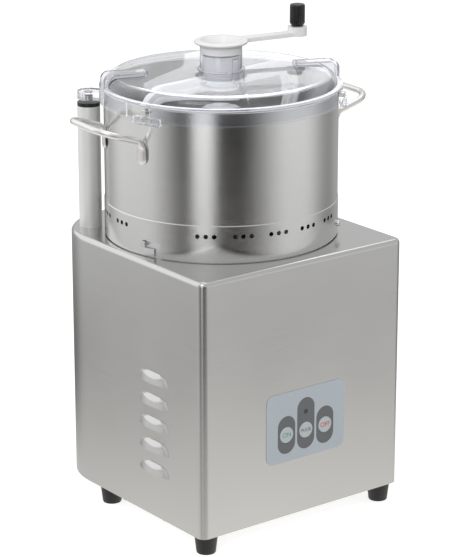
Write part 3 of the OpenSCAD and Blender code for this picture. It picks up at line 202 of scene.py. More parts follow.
# %% [markdown]
# Below the boxes lies a bright, warm floor, and above them a ceiling. On the camera's side a
# painted shade darkens the floor in front, and draws the dark line on the casing's front left bend.
# The background could be a white sheet, but it is the world itself: the camera sees plain white
# there, also straight through the clear lid, while all surfaces mirror the studio and are lit
# by it.

# %% World
CEILING_LEVEL = 0.74
CEILING_EDGE = (0.0, 0.28, 0.0, 1.0)
FLOOR_EDGE = (-0.395, -0.338, 1.0, 0.0)
# The directions between which the floor changes, in radians, and how bright it is left and
# right of them
FLOOR_LEVELS = (-0.3, 0.3, 1.10, 1.30)
# Painted shade on the floor in front: direction, half width of the even part, half width at the
# foot, and the share of the floor's light that it takes away
FLOOR_SHADE_BAND = (3, 40, 64, 1.0)
# Heights over which the painted shade on the floor grows: the lower one, the higher one, and its
# share below and above them
FLOOR_SHADE_EDGE = (-0.39, -0.362, 0.12, 1.0)
WHITE = (1.0, 1.0, 1.0)
WARM_WHITE = (1.0, 0.975, 0.93)
WARM_EDGE = (-0.38, -0.30, 1.0, 0.0)
CAMERA_DIRECTION = math.atan2(CAMERA_AT.x, -CAMERA_AT.y)
# A count of bounces below this is none
NO_BOUNCE = 0.5


def studio_light(tree):
    ray = add(tree, "ShaderNodeTexCoord", "Generated")
    right, away, height = add(tree, "ShaderNodeSeparateXYZ", None, i0=ray).outputs
    angle = calc(tree, "ARCTAN2", right, calc(tree, "MULTIPLY", away, -1.0))
    from_camera = calc(tree, "SUBTRACT", angle, CAMERA_DIRECTION)
    direction = calc(tree, "WRAP", from_camera, math.pi, -math.pi)
    # Painted shade on the floor in front of the machine, full higher up and faint lower down
    floor_shade = calc(tree, "MULTIPLY", ramp(tree, height, *FLOOR_SHADE_EDGE, True),
                   band(tree, direction, *FLOOR_SHADE_BAND))
    floor = calc(tree, "MULTIPLY", calc(tree, "SUBTRACT", 1.0, floor_shade),
                 ramp(tree, direction, *FLOOR_LEVELS))
    level = soft_boxes(tree, direction, height)
    level = blend(tree, ramp(tree, height, *FLOOR_EDGE, True), level, floor)
    level = blend(tree, ramp(tree, height, *CEILING_EDGE, True), level, CEILING_LEVEL)
    warmth = tint(tree, ramp(tree, height, *WARM_EDGE), rgba(WHITE), rgba(WARM_WHITE))
    return multiply_vectors(tree, warmth, level)


def seen_straight(tree):
    """One where the camera sees the background itself, or sees it only through the lid."""
    path = add(tree, "ShaderNodeLightPath", None)
    bounces = calc(tree, "ADD", path.outputs["Glossy Depth"], path.outputs["Diffuse Depth"])
    through = calc(tree, "MULTIPLY", path.outputs["Is Transmission Ray"],
                   calc(tree, "LESS_THAN", bounces, NO_BOUNCE))
    return calc(tree, "MAXIMUM", path.outputs["Is Camera Ray"], through)


def build_world():
    world = bpy.data.worlds.new("studio")
    scene.world = world
    world.use_nodes = True
    tree = world.node_tree
    tree.nodes.clear()
    colour = tint(tree, seen_straight(tree), studio_light(tree), rgba(WHITE))
    light = add(tree, "ShaderNodeBackground", Color=colour, Strength=1.0)
    add(tree, "ShaderNodeOutputWorld", None, Surface=light)


build_world()
print("world:", scene.world.name, "with", len(scene.world.node_tree.nodes), "nodes")

# %% [markdown]
# Two soft lamps from above give the plastics their shading. A wide one behind is only mirrored:
# it draws the bright lines on the louvres and the bent edges. A fill lamp beside the camera lifts
# the sides of the plastics that face it, and steel doesn't mirror it. One strong lamp could do
# all of this, but its mirror image would burn out on the steel.

# %% Lamps
# Name, place, size, power, whether it is mirrored, and whether it lights dull surfaces
LAMPS = (
    ("key", (-1.3, -0.9, 2.1), 1.3, 10, True, True),
    ("top", (0.9, 0.5, 2.4), 1.5, 10, True, True),
    ("rear", (-0.9, 1.6, 1.6), 2.8, 14, True, False),
    ("fill", (-1.9, -1.7, 1.2), 1.2, 18, False, True),
)
LAMPS_AIM = Vector((0, 0, 0.3))


def build_lamps():
    for name, place, size, power, mirrored, lights in LAMPS:
        data = bpy.data.lights.new(name, "AREA")
        data.size = size
        data.energy = power
        lamp = link(bpy.data.objects.new(name, data))
        lamp.visible_glossy = mirrored
        lamp.visible_diffuse = lights
        aim(lamp, place, LAMPS_AIM)


build_lamps()
print("lamps:", len(LAMPS))

# %% [markdown]
# The machine stands on a pale floor that keeps its shadow. A floor lit by the lamps alone would
# end in a grey edge, so this one adds light of its own for the camera only, and fades into the
# white background. Steel doesn't mirror it, since the world has a floor drawn for that.

# %% Floor
FLOOR_SIZE = 12.0
FLOOR_GREY = 0.5
FLOOR_GLOW = 0.74


def floor_material():
    material = bpy.data.materials.new("pale_floor")
    material.use_nodes = True
    tree = material.node_tree
    tree.nodes.clear()
    path = add(tree, "ShaderNodeLightPath", None)
    seen = calc(tree, "MAXIMUM", path.outputs["Is Camera Ray"], path.outputs["Is Transmission Ray"])
    strength = calc(tree, "MULTIPLY", seen, FLOOR_GLOW)
    paint = add(tree, "ShaderNodeBsdfDiffuse", Color=rgba([FLOOR_GREY] * 3))
    glow = add(tree, "ShaderNodeEmission", Color=rgba(WHITE), Strength=strength)
    both = add(tree, "ShaderNodeAddShader", i0=paint, i1=glow)
    add(tree, "ShaderNodeOutputMaterial", None, Surface=both)
    return material


def build_floor():
    half = FLOOR_SIZE / 2
    corners = [(-half, -half, 0), (half, -half, 0), (half, half, 0), (-half, half, 0)]
    mesh = bpy.data.meshes.new("floor")
    mesh.from_pydata(corners, [], [(0, 1, 2, 3)])
    mesh.materials.append(floor_material())
    floor = link(bpy.data.objects.new("floor", mesh))
    floor.visible_glossy = False


build_floor()
print("floor:", FLOOR_SIZE, "m wide")

# %% [markdown]
# Three effects repeat over the materials: the fine lines that a belt leaves on steel, the soft
# smudges that change its gloss, and the grain of moulded plastic. They could be drawn again in
# each material, but a shared group keeps them alike. A group gives out plain values, and each
# material decides what to do with them.

# %% Shared surface effects
NOISES = {
    "lines": {"Scale": 6.0, "Detail": 3.0},
    "smudge": {"Scale": 5.0, "Detail": 2.0},
    "grain": {"Detail": 2.0},
    "cloud": {"Scale": 14.0, "Detail": 3.0},
}
# How fine the lines are in x, y and z: on upright sheet they lie level
LEVEL_LINES = (2.0, 2.0, 400.0)
GRAIN_SCALE = 900.0


def new_group(name, inputs, outputs):
    group = bpy.data.node_groups.new(name, "ShaderNodeTree")
    for title, kind, default in inputs:
        socket = group.interface.new_socket(title, in_out="INPUT", socket_type=kind)
        if default is not None:
            socket.default_value = default
    for title in outputs:
        group.interface.new_socket(title, in_out="OUTPUT", socket_type="NodeSocketFloat")
    return group, group.nodes.new("NodeGroupInput"), group.nodes.new("NodeGroupOutput")


def place_group(tree, group, **inputs):
    node = tree.nodes.new("ShaderNodeGroup")
    node.node_tree = group
    set_inputs(tree, node, inputs)
    return node


def noise(tree, name, place, **inputs):
    return add(tree, "ShaderNodeTexNoise", "Fac", Vector=place, **NOISES[name], **inputs)


def brushed_lines():
    inputs = [("Place", "NodeSocketVector", None), ("Along", "NodeSocketVector", LEVEL_LINES)]
    group, entry, leave = new_group("brushed_lines", inputs, ["Lines", "Smudge"])
    place = entry.outputs["Place"]
    stretched = multiply_vectors(group, place, entry.outputs["Along"])
    group.links.new(noise(group, "lines", stretched), leave.inputs["Lines"])
    group.links.new(noise(group, "smudge", place), leave.inputs["Smudge"])
    return group


def moulded_grain():
    inputs = [("Place", "NodeSocketVector", None), ("Scale", "NodeSocketFloat", GRAIN_SCALE)]
    group, entry, leave = new_group("moulded_grain", inputs, ["Grain", "Cloud"])
    place = entry.outputs["Place"]
    grain = noise(group, "grain", place, Scale=entry.outputs["Scale"])
    group.links.new(grain, leave.inputs["Grain"])
    group.links.new(noise(group, "cloud", place), leave.inputs["Cloud"])
    return group


BRUSHED_LINES = brushed_lines()
MOULDED_GRAIN = moulded_grain()
print("effect groups:", BRUSHED_LINES.name, "and", MOULDED_GRAIN.name)

# %% [markdown]
# The casing is brushed sheet, the bowl has a satin finish with a fine grain, and rods, screws
# and the post are duller. Each could have a recipe of its own, but all metals mirror alike: a
# reflecting base whose gloss changes a little along the lines and in soft smudges. So they share
# one recipe, and only colour, gloss, grain and the run of the lines differ.

# %% Metals
# Most of a noise lies between these two values
NOISE_RANGE = (0.3, 0.7)
GLOSS_SPREAD = 0.02
METAL_DIM = 0.94
LINES_RELIEF = {"Strength": 0.012, "Distance": 0.0002}
SATIN_HEIGHT = 0.0002
# Name, colour, roughness, how fine the lines are in x, y and z, and the strength of a satin grain
METALS = (
    ("casing_steel", (0.56, 0.56, 0.555), 0.21, LEVEL_LINES),
    ("bowl_steel", (0.72, 0.72, 0.71), 0.18, (2.0, 2.0, 300.0), 0.3),
    ("rod_steel", (0.74, 0.73, 0.72), 0.32, (60.0, 60.0, 60.0)),
    ("blade_steel", (0.72, 0.72, 0.72), 0.24, (90.0, 90.0, 4.0)),
    ("fastener_steel", (0.62, 0.62, 0.63), 0.28, (90.0, 90.0, 90.0)),
    ("aluminium", (0.68, 0.69, 0.70), 0.35, (120.0, 120.0, 4.0)),
    ("post_aluminium", (0.84, 0.85, 0.84), 0.56, (60.0, 60.0, 3.0)),
    ("motor_iron", (0.22, 0.24, 0.27), 0.5, (60.0, 60.0, 60.0)),
    ("capacitor_can", (0.72, 0.72, 0.73), 0.3, (2.0, 2.0, 200.0)),
)


def begin_material(name):
    material = bpy.data.materials.new(name)
    material.use_nodes = True
    tree = material.node_tree
    tree.nodes.clear()
    return material, tree, add(tree, "ShaderNodeTexCoord", "Object")


def finish_material(tree, surface):
    add(tree, "ShaderNodeOutputMaterial", None, Surface=surface)


def dimmed(colour, share):
    return rgba([channel * share for channel in colour])


def metal(name, colour, roughness, along, satin=0.0):
    material, tree, place = begin_material(name)
    brushed = place_group(tree, BRUSHED_LINES, Place=place, Along=along)
    lines = brushed.outputs["Lines"]
    fine = ramp(tree, lines, *NOISE_RANGE, -GLOSS_SPREAD, GLOSS_SPREAD)
    soft = ramp(tree, brushed.outputs["Smudge"], *NOISE_RANGE, -GLOSS_SPREAD, GLOSS_SPREAD)
    gloss = calc(tree, "ADD", calc(tree, "ADD", fine, soft), roughness)
    shade = tint(tree, lines, dimmed(colour, METAL_DIM), rgba(colour))
    normal = add(tree, "ShaderNodeBump", Height=lines, **LINES_RELIEF)
    if satin:
        grain = place_group(tree, MOULDED_GRAIN, Place=place, Scale=GRAIN_SCALE)
        normal = add(tree, "ShaderNodeBump", Strength=satin, Distance=SATIN_HEIGHT,
                     Height=grain.outputs["Grain"], Normal=normal)
    surface = add(tree, "ShaderNodeBsdfPrincipled", Base_Color=shade, Metallic=1.0,
                  Roughness=gloss, Normal=normal)
    finish_material(tree, surface)
    return material


MATERIALS = {row[0]: metal(*row) for row in METALS}
print("metals:", len(METALS))

# %% [markdown]
# Crank, knob, feet, films and prints are moulded or printed. They could have plain colours, but
# would then look like clay. So they share a recipe too: a faint cloud in colour and gloss, and a
# fine moulded grain.

# %% Plastics, rubber and prints
PLASTIC_DIM = 0.93
PLASTIC_GLOSS_SPREAD = 0.05
MOULDED_RELIEF = {"Strength": 0.05, "Distance": 0.0001}
# Name, colour, roughness
PLASTICS = (
    ("cover_paint", (0.16, 0.18, 0.20), 0.45),
    ("rubber_black", (0.005, 0.005, 0.006), 0.55),
    ("plastic_black", (0.005, 0.005, 0.006), 0.34),
    ("plastic_white", (0.84, 0.84, 0.84), 0.32),
    ("scraper_plastic", (0.94, 0.94, 0.94), 0.34),
    ("seal_plastic", (0.92, 0.92, 0.93), 0.5),
    ("panel_film", (0.48, 0.535, 0.58), 0.42),
    ("field_film", (0.13, 0.135, 0.14), 0.4),
    ("button_plastic", (0.52, 0.56, 0.58), 0.4),
    ("lamp_plastic", (0.04, 0.045, 0.05), 0.2),
    ("board", (0.02, 0.12, 0.05), 0.5),
    ("electric_plastic", (0.5, 0.5, 0.52), 0.45),
    ("print_green", (0.01, 0.33, 0.17), 0.5),
    ("print_red", (0.62, 0.015, 0.02), 0.5),
    ("print_grey", (0.06, 0.06, 0.065), 0.5),
)


def plastic(name, colour, roughness):
    material, tree, place = begin_material(name)
    grain = place_group(tree, MOULDED_GRAIN, Place=place, Scale=GRAIN_SCALE)
    cloud = grain.outputs["Cloud"]
    shade = tint(tree, cloud, dimmed(colour, PLASTIC_DIM), rgba(colour))
    gloss = ramp(tree, cloud, *NOISE_RANGE, roughness - PLASTIC_GLOSS_SPREAD,
                 roughness + PLASTIC_GLOSS_SPREAD)
    normal = add(tree, "ShaderNodeBump", Height=grain.outputs["Grain"], **MOULDED_RELIEF)
    surface = add(tree, "ShaderNodeBsdfPrincipled", Base_Color=shade, Roughness=gloss,
                  Normal=normal)
    finish_material(tree, surface)
    return material


MATERIALS.update({row[0]: plastic(*row) for row in PLASTICS})
print("plastics:", len(PLASTICS))

# %% [markdown]
# The lid is clear plastic. Glass alone would darken the bowl below it, because soft light finds
# no way through a bending wall. So the lid bends only what the camera sees through it: the light
# that comes and goes below it passes straight, and the bowl mirrors the same studio as outside.

# %% Clear lid
LID_COLOUR = (0.93, 0.935, 0.955)
LID_ROUGHNESS = 0.015
LID_GLOSS_SHARES = (0.6, 1.6)
LID_BENDING = 1.49
MILKINESS = 0.015


def clear_plastic(name):
    material, tree, place = begin_material(name)
    grain = place_group(tree, MOULDED_GRAIN, Place=place, Scale=GRAIN_SCALE)
    smooth, dull = (LID_ROUGHNESS * share for share in LID_GLOSS_SHARES)
    gloss = ramp(tree, grain.outputs["Cloud"], *NOISE_RANGE, smooth, dull)
    glass = add(tree, "ShaderNodeBsdfPrincipled", Base_Color=rgba(LID_COLOUR), Roughness=gloss,
                IOR=LID_BENDING, Transmission_Weight=1.0 - MILKINESS)
    open_way = add(tree, "ShaderNodeBsdfTransparent", Color=rgba(LID_COLOUR))
    path = add(tree, "ShaderNodeLightPath", None).outputs
    mirrored = calc(tree, "SUBTRACT", path["Is Glossy Ray"], path["Is Transmission Ray"])
    lit = calc(tree, "MAXIMUM", path["Is Shadow Ray"], path["Is Diffuse Ray"])
    lets_by = calc(tree, "MAXIMUM", mirrored, lit)
    finish_material(tree, add(tree, "ShaderNodeMixShader", i0=lets_by, i1=glass, i2=open_way))
    return material


MATERIALS["lid_plastic"] = clear_plastic("lid_plastic")
print("materials:", len(MATERIALS))

# %% [markdown]
# A CAD node is a heap of loose triangles, so its round faces look faceted. A piece could be
# modelled again, but a copy of the node, merged and shaded smooth, keeps the real size. Each
# piece is finished alike: it takes the node's material, rides on its body and stands in for it.

# %% Copies of CAD nodes
# Angles in degrees, and the distance in metres
SMOOTH_ANGLE = 32
FLAT_ANGLE = 0.3
MERGE_DISTANCE = 2e-6


def finish_piece(obj, node):
    slot = SLOT_OF[node]
    obj.data.materials.clear()
    obj.data.materials.append(MATERIALS[slot])
    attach(obj, NODES[node]["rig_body"])
    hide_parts(node)
    return obj


def merged_copy(node, dissolve):
    mesh = NODES[node].data.copy()
    mesh.name = "fine_" + node
    work = bmesh.new()
    work.from_mesh(mesh)
    bmesh.ops.remove_doubles(work, verts=work.verts, dist=MERGE_DISTANCE)
    if dissolve:
        bmesh.ops.dissolve_limit(work, angle_limit=math.radians(FLAT_ANGLE),
                                 verts=work.verts, edges=work.edges)
    work.to_mesh(mesh)
    work.free()
    return link(bpy.data.objects.new(mesh.name, mesh))


def plain_mesh(obj):
    bpy.context.view_layer.update()
    depsgraph = bpy.context.evaluated_depsgraph_get()
    return bpy.data.meshes.new_from_object(obj.evaluated_get(depsgraph))


def apply_modifiers(obj):
    result = plain_mesh(obj)
    obj.modifiers.clear()
    obj.data = result
    return obj


def shade_smooth(obj, angle=SMOOTH_ANGLE):
    obj.data.polygons.foreach_set("use_smooth", [True] * len(obj.data.polygons))
    obj.data.set_sharp_from_angle(angle=math.radians(angle))


# %% [markdown]
# Bent sheet, moulded plastic and films have small soft edges that catch the light. They could be
# left to the shading, but a narrow bevel gives a true edge. The normals are then weighted by the
# size of the faces, so that a large flat sheet stays flat up to the edge of a louvre.

# %% Bevelled pieces
BEVEL_SEGMENTS = 2
# For the weights of the normals 50 is neutral, and 100 favours large faces the most
LARGE_FACES_LEAD = 100
# Width of the bevel in millimetres. The casing has its bends in the CAD shape and gets none.
BEVELLED = {
    "base_casing": 0, "bayonet_pins": 0.4, "panel_sheet": 0.15, "button_fields": 0.1,
    "status_lamp": 0.4, "lid_studs": 0.8, "scraper": 0.5, "funnel_crank": 0.7,
    "start_button": 0.3, "pulse_button": 0.3, "stop_button": 0.3, "upper_blade": 0.3,
    "lower_blade": 0.3, "blade_nut": 0.4, "cable_gland": 0.4, "capacitor_clip": 0.3,
    "switch_block": 0.5, "terminal_block": 0.5,
}


def refine(node, edge):
    obj = merged_copy(node, True)
    if edge:
        bevel = obj.modifiers.new("edges", "BEVEL")
        bevel.width = edge * MM
        bevel.segments = BEVEL_SEGMENTS
        bevel.limit_method = "ANGLE"
        bevel.angle_limit = math.radians(SMOOTH_ANGLE)
        apply_modifiers(obj)
    shade_smooth(obj)
    weights = obj.modifiers.new("normals", "WEIGHTED_NORMAL")
    weights.weight = LARGE_FACES_LEAD
    weights.keep_sharp = True
    return finish_piece(apply_modifiers(obj), node)


for node_name, edge_width in BEVELLED.items():
    refine(node_name, edge_width)
print("bevelled:", len(BEVELLED))

# %% [markdown]
# Bowl, lid, shaft and motor parts are turned or spun about an upright axis. Smooth shading alone
# bends their reflections, because a long thin triangle beside a hole pulls at the normals. So
# each normal of a turned face is worked out from the axis instead, as an outward and an upward
# part, and neighbours of nearly the same slope share it.

# %% Normals from an axis
# How far a normal may point sideways, of a length of one, where its face still counts as turned
TURNED_SLACK = 0.16


def outwards(place, axis):
    away = Vector((place.x - axis[0], place.y - axis[1], 0.0))
    return away.normalized() if away.length > MERGE_DISTANCE else Vector((1.0, 0.0, 0.0))


def turned_face(normal, centre, axis):
    """The normal as (outward, upward) where the face belongs to a turned surface, else None."""
    out = outwards(centre, axis)
    if abs(normal.dot(Vector((-out.y, out.x, 0.0)))) > TURNED_SLACK:
        return None
    return Vector((normal.dot(out), normal.z)).normalized()


def corner_weight(mesh, face, corner):
    here = mesh.vertices[face.vertices[corner]].co
    before = mesh.vertices[face.vertices[corner - 1]].co - here
    after = mesh.vertices[face.vertices[(corner + 1) % len(face.vertices)]].co - here
    return before.angle(after, 0.0)


def average(own, others, fallback):
    near = math.cos(math.radians(SMOOTH_ANGLE))
    total = own * 0.0
    for other, weight in others:
        if other is not None and own.dot(other) > near:
            total += other * weight
    return total.normalized() if total.length else fallback


def turned_normals(obj, axis):
    mesh = obj.data
    flat = [face.normal.copy() for face in mesh.polygons]
    turned = [turned_face(face.normal, face.center, axis) for face in mesh.polygons]
    around = [[] for _ in mesh.vertices]
    for face in mesh.polygons:
        for corner, vertex in enumerate(face.vertices):
            around[vertex].append((face.index, corner_weight(mesh, face, corner)))
    normals = []
    for face in mesh.polygons:
        own = turned[face.index]
        for vertex in face.vertices:
            if own is None:
                near_by = [(flat[other], weight) for other, weight in around[vertex]]
                normals.append(average(flat[face.index], near_by, flat[face.index]))
                continue
            total = average(own, [(turned[other], weight) for other, weight in around[vertex]], own)
            out = outwards(mesh.vertices[vertex].co, axis)
            normals.append(out * total.x + Vector((0.0, 0.0, total.y)))
    mesh.polygons.foreach_set("use_smooth", [True] * len(mesh.polygons))
    mesh.normals_split_custom_set(normals)


# %% [markdown]
# Most turned pieces share the axis of the motor, and a few stand beside it or on the crank. One
# list could hold an axis for each piece, but the axis of a round piece is the middle of its box,
# so the frame gives it.

# %% Turned pieces
MOTOR_AXIS = (0.0, 0.0)
TURNED = (
    "bowl_wall", "bowl_floor", "bowl_seat_ring", "bowl_collar", "lid", "lid_seal", "knife_hub",
    "blade_spacer", "knife_cap", "motor_flange", "motor_end_bell", "fan_cover", "motor_rotor",
    "drive_shaft", "upper_bearing", "lower_bearing", "shaft_seal", "motor_stator", "cooling_fan",
)
TURNED_ELSEWHERE = ("interlock_post", "post_cap", "run_capacitor", "knob_pin", "reed_switch")


def refine_turned(node, axis):
    obj = merged_copy(node, False)
    turned_normals(obj, axis)
    return finish_piece(obj, node)


def middle(node):
    low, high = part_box(node)
    return (low + high) / 2


for node_name in TURNED:
    refine_turned(node_name, MOTOR_AXIS)
for node_name in TURNED_ELSEWHERE:
    refine_turned(node_name, middle(node_name)[:2])
print("turned:", len(TURNED) + len(TURNED_ELSEWHERE))

# %% [markdown]
# Each bowl handle is one bent steel rod. Its path could be drawn as a curve by hand, but a rod is
# bent over round formers: straight runs with an arc between them. So the path is worked out from
# its corners and the radius of each bend, and then cut into even steps.

# %% Path of a rod
PATH_STEP = 2.5 * MM
BEND_STEPS = 12


def rounded_path(corners, radii):
    """Points along straight runs between the corners, with an arc of the given radius at each."""
    points = [corners[0]]
    for k, radius in enumerate(radii, start=1):
        here = corners[k]
        back = (corners[k - 1] - here).normalized()
        on = (corners[k + 1] - here).normalized()
        half = back.angle(on) / 2
        reach = radius / math.tan(half)
        centre = here + (back + on).normalized() * (radius / math.sin(half))
        start = here + back * reach - centre
        turn = start.rotation_difference(here + on * reach - centre)
        for step in range(BEND_STEPS + 1):
            points.append(centre + Quaternion().slerp(turn, step / BEND_STEPS) @ start)
    points.append(corners[-1])
    return points


def evenly(points):
    dense = [points[0]]
    for a, b in zip(points, points[1:]):
        count = max(1, round((b - a).length / PATH_STEP))
        dense += [a.lerp(b, k / count) for k in range(1, count + 1)]
    return dense


# %% [markdown]
# The rod's ends are pressed flat to pads, which are welded to the bowl. A curve with a round
# bevel could make the loop but not the pads, because the rod's section changes along the way. So
# rings of points are set along the path, and a flattening goes from the pads into the round rod.

# %% Swept rod
# R is a radius, W a width and T a thickness
ROD_R = 4.0 * MM
ROD_SIDES = 24
PAD_HALF_W = 6.8 * MM
PAD_HALF_T = 2.2 * MM
PAD_LENGTH = 27.5 * MM
PAD_TIP = 6.5 * MM
PAD_BLEND_SHARE = 0.35
TIP_LEAST_W_SHARE = 0.12
TIP_LEAST_T_SHARE = 0.4


def rod_section(run, length):
    """Half width, half thickness and flatness of the rod at a distance from its start."""
    from_end = min(run, length - run)
    flat = min(1.0, max(0.0, (PAD_LENGTH - from_end) / (PAD_BLEND_SHARE * PAD_LENGTH)))
    flat = flat * flat * (3 - 2 * flat)
    half_w = ROD_R + (PAD_HALF_W - ROD_R) * flat
    half_t = ROD_R + (PAD_HALF_T - ROD_R) * flat
    if from_end < PAD_TIP:
        taper = math.sqrt(max(0.0, 1 - (1 - from_end / PAD_TIP) ** 2))
        half_w *= max(taper, TIP_LEAST_W_SHARE)
        half_t *= max(taper, TIP_LEAST_T_SHARE)
    return half_w, half_t, flat


def join_rings(work, rings):
    """Faces between neighbouring rings. A ring that is one point repeated closes to a cone."""
    for first, second in zip(rings, rings[1:]):
        sides = len(first)
        for s in range(sides):
            t = (s + 1) % sides
            work.faces.new(tuple(dict.fromkeys((first[s], first[t], second[t], second[s]))))


def sweep_rod(points, normal, pad_turn):
    length = sum((b - a).length for a, b in zip(points, points[1:]))
    angles = [math.tau * s / ROD_SIDES for s in range(ROD_SIDES)]
    work = bmesh.new()
    rings = []
    run = 0.0
    for k, point in enumerate(points):
        behind = points[max(k - 1, 0)]
        tangent = (points[min(k + 1, len(points) - 1)] - behind).normalized()
        normal = (normal - tangent * normal.dot(tangent)).normalized()
        run += (point - behind).length
        half_w, half_t, flat = rod_section(run, length)
        out = Matrix.Rotation(pad_turn * flat, 3, tangent) @ normal
        side = tangent.cross(out)
        rings.append([
            work.verts.new(point + out * (half_t * math.cos(a)) + side * (half_w * math.sin(a)))
            for a in angles])
    join_rings(work, rings)
    work.faces.new(rings[0])
    work.faces.new(rings[-1])
    bmesh.ops.recalc_face_normals(work, faces=work.faces)
    return work


# %% [markdown]
# A handle runs down the wall as a pad, bends out, and loops round for the hand. The second one
# could be a turned copy of the first, but each stands in for a node of its own. So both are built
# alike, half a turn apart.

# %% Handles
# R is a radius, W a width, Z a height, and the angle is the first handle's about the bowl's axis
WALL_R = 142.5 * MM
HANDLE_HALF_W = 46.0 * MM
HANDLE_REACH = 189.0 * MM
HANDLE_Z = 482.0 * MM
HANDLE_TILT = math.radians(18)
HANDLE_ANGLE = math.radians(-95.5)
ROOT_BEND = 11.0 * MM
LOOP_BEND = 26.0 * MM
ROD_SMOOTH_ANGLE = 50
HANDLES = ("left_handle", "right_handle")


def build_handle(node):
    pad_angle = math.asin(HANDLE_HALF_W / (WALL_R + ROD_R))
    pad_x = (WALL_R + PAD_HALF_T) * math.cos(pad_angle)
    pad_y = (WALL_R + PAD_HALF_T) * math.sin(pad_angle)
    bar_z = HANDLE_Z + (HANDLE_REACH - pad_x) * math.tan(HANDLE_TILT)
    one_side = [Vector((pad_x, pad_y, HANDLE_Z - PAD_LENGTH)), Vector((pad_x, pad_y, HANDLE_Z)),
                Vector((HANDLE_REACH, HANDLE_HALF_W, bar_z))]
    other_side = [Vector((corner.x, -corner.y, corner.z)) for corner in reversed(one_side)]
    bends = [ROOT_BEND, LOOP_BEND, LOOP_BEND, ROOT_BEND]
    path = evenly(rounded_path(one_side + other_side, bends))
    work = sweep_rod(path, Vector((1.0, 0.0, 0.0)), pad_angle)
    direction = HANDLE_ANGLE + (math.pi if middle(node).x > 0 else 0.0)
    bmesh.ops.rotate(work, verts=work.verts, cent=(0, 0, 0),
                     matrix=Matrix.Rotation(direction - math.pi / 2, 3, "Z"))
    mesh = bpy.data.meshes.new("rod_" + node)
    work.to_mesh(mesh)
    work.free()
    obj = link(bpy.data.objects.new(mesh.name, mesh))
    shade_smooth(obj, ROD_SMOOTH_ANGLE)
    return finish_piece(obj, node)


for node_name in HANDLES:
    build_handle(node_name)
print("handles:", len(HANDLES))

# %% [markdown]
# The knob is turned from black plastic, with shallow flutes for the fingers, a chamfered foot
# and a rounded top. Flutes could be cut with a boolean, which leaves ragged faces. So a lathe
# turns the outline and presses the flutes into each ring as it goes. The feet and the screws are
# turned on the same lathe. An outline has one row for each of its points, from the bottom up.

# %% Lathe and knob
FLUTES = 20
FLUTE_DEPTH_SHARE = 0.035
FLUTE_SHARPNESS = 4
KNOB_SIDES = 240
KNOB_FOOT_H = 3.9
# Share of the radius, millimetres less, share of the height, millimetres more
KNOB_OUTLINE = (
    (0, 0, 0, 0), (0.76, 0, 0, 0), (0.78, 0, 0, 0.3), (0.78, 0, 0, 1.2), (0.97, 0, 0, 3.3),
    (1, 0, 0, KNOB_FOOT_H), (1, 0, 0.5, 0), (1, 0, 1, -KNOB_FOOT_H), (1, 0, 1, -2.2),
    (1, 0.25, 1, -1.0), (1, 0.9, 1, -0.3), (1, 1.9, 1, 0), (0, 0, 1, 0),
)


def outline(rows, radius, height):
    return [(r_share * radius - less, h_share * height + more)
            for r_share, less, h_share, more in rows]


def lathe(name, profile, centre, sides, pattern=None):
    """A turned piece from (radius, height) points in millimetres, from the bottom to the top."""
    work = bmesh.new()
    rings = []
    for radius, height in profile:
        if radius == 0:
            rings.append([work.verts.new(centre + Vector((0, 0, height * MM)))] * sides)
            continue
        ring = []
        for a in (math.tau * s / sides for s in range(sides)):
            r = radius * MM * (pattern(a, radius, height) if pattern else 1.0)
            place = Vector((r * math.cos(a), r * math.sin(a), height * MM))
            ring.append(work.verts.new(centre + place))
        rings.append(ring)
    join_rings(work, rings)
    bmesh.ops.recalc_face_normals(work, faces=work.faces)
    mesh = bpy.data.meshes.new(name)
    work.to_mesh(mesh)
    work.free()
    obj = link(bpy.data.objects.new(name, mesh))
    shade_smooth(obj)
    return obj


def build_knob():
    low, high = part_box("crank_knob")
    centre = Vector(((low.x + high.x) / 2, (low.y + high.y) / 2, low.z))
    r = (high.x - low.x) / 2 / MM
    h = (high.z - low.z) / MM

    def fluted(angle, radius, height):
        if radius < r or height > h - KNOB_FOOT_H:
            return 1.0
        flute = (0.5 + 0.5 * math.cos(FLUTES * angle)) ** FLUTE_SHARPNESS
        return 1.0 - FLUTE_DEPTH_SHARE * flute

    knob = lathe("fluted_knob", outline(KNOB_OUTLINE, r, h), centre, KNOB_SIDES, fluted)
    finish_piece(knob, "crank_knob")


build_knob()
print("knob:", FLUTES, "flutes")

# %% [markdown]
# The machine stands on four rubber feet, and its collar, motor and bottom plate are held by
# screws with a six-sided socket. Each could be copied in a loop, but one Geometry Nodes tree
# sets copies of a master piece on places, and can turn each at random, as screws end up when
# they are tight. The places come from the CAD nodes: each loose solid of a node is one place.

# %% Copies on places
TREE_SEED = 7
TREE_SOCKETS = (
    ("Places", "INPUT", "Geometry"), ("Master", "INPUT", "Object"), ("Size", "INPUT", "Float"),
    ("Random turn", "INPUT", "Float"), ("Finish", "INPUT", "Material"),
    ("Copies", "OUTPUT", "Geometry"),
)


def solid_boxes(node):
    """Lowest and highest corner of each loose solid of a node."""
    work = bmesh.new()
    work.from_mesh(NODES[node].data)
    bmesh.ops.remove_doubles(work, verts=work.verts, dist=MERGE_DISTANCE)
    left = set(work.verts)
    boxes = []
    while left:
        stack = [left.pop()]
        found = []
        while stack:
            vert = stack.pop()
            found.append(vert.co.copy())
            fresh = {edge.other_vert(vert) for edge in vert.link_edges} & left
            left -= fresh
            stack += fresh
        boxes.append((Vector([min(c[k] for c in found) for k in range(3)]),
                      Vector([max(c[k] for c in found) for k in range(3)])))
    work.free()
    return sorted(boxes, key=lambda pair: tuple(pair[0]))


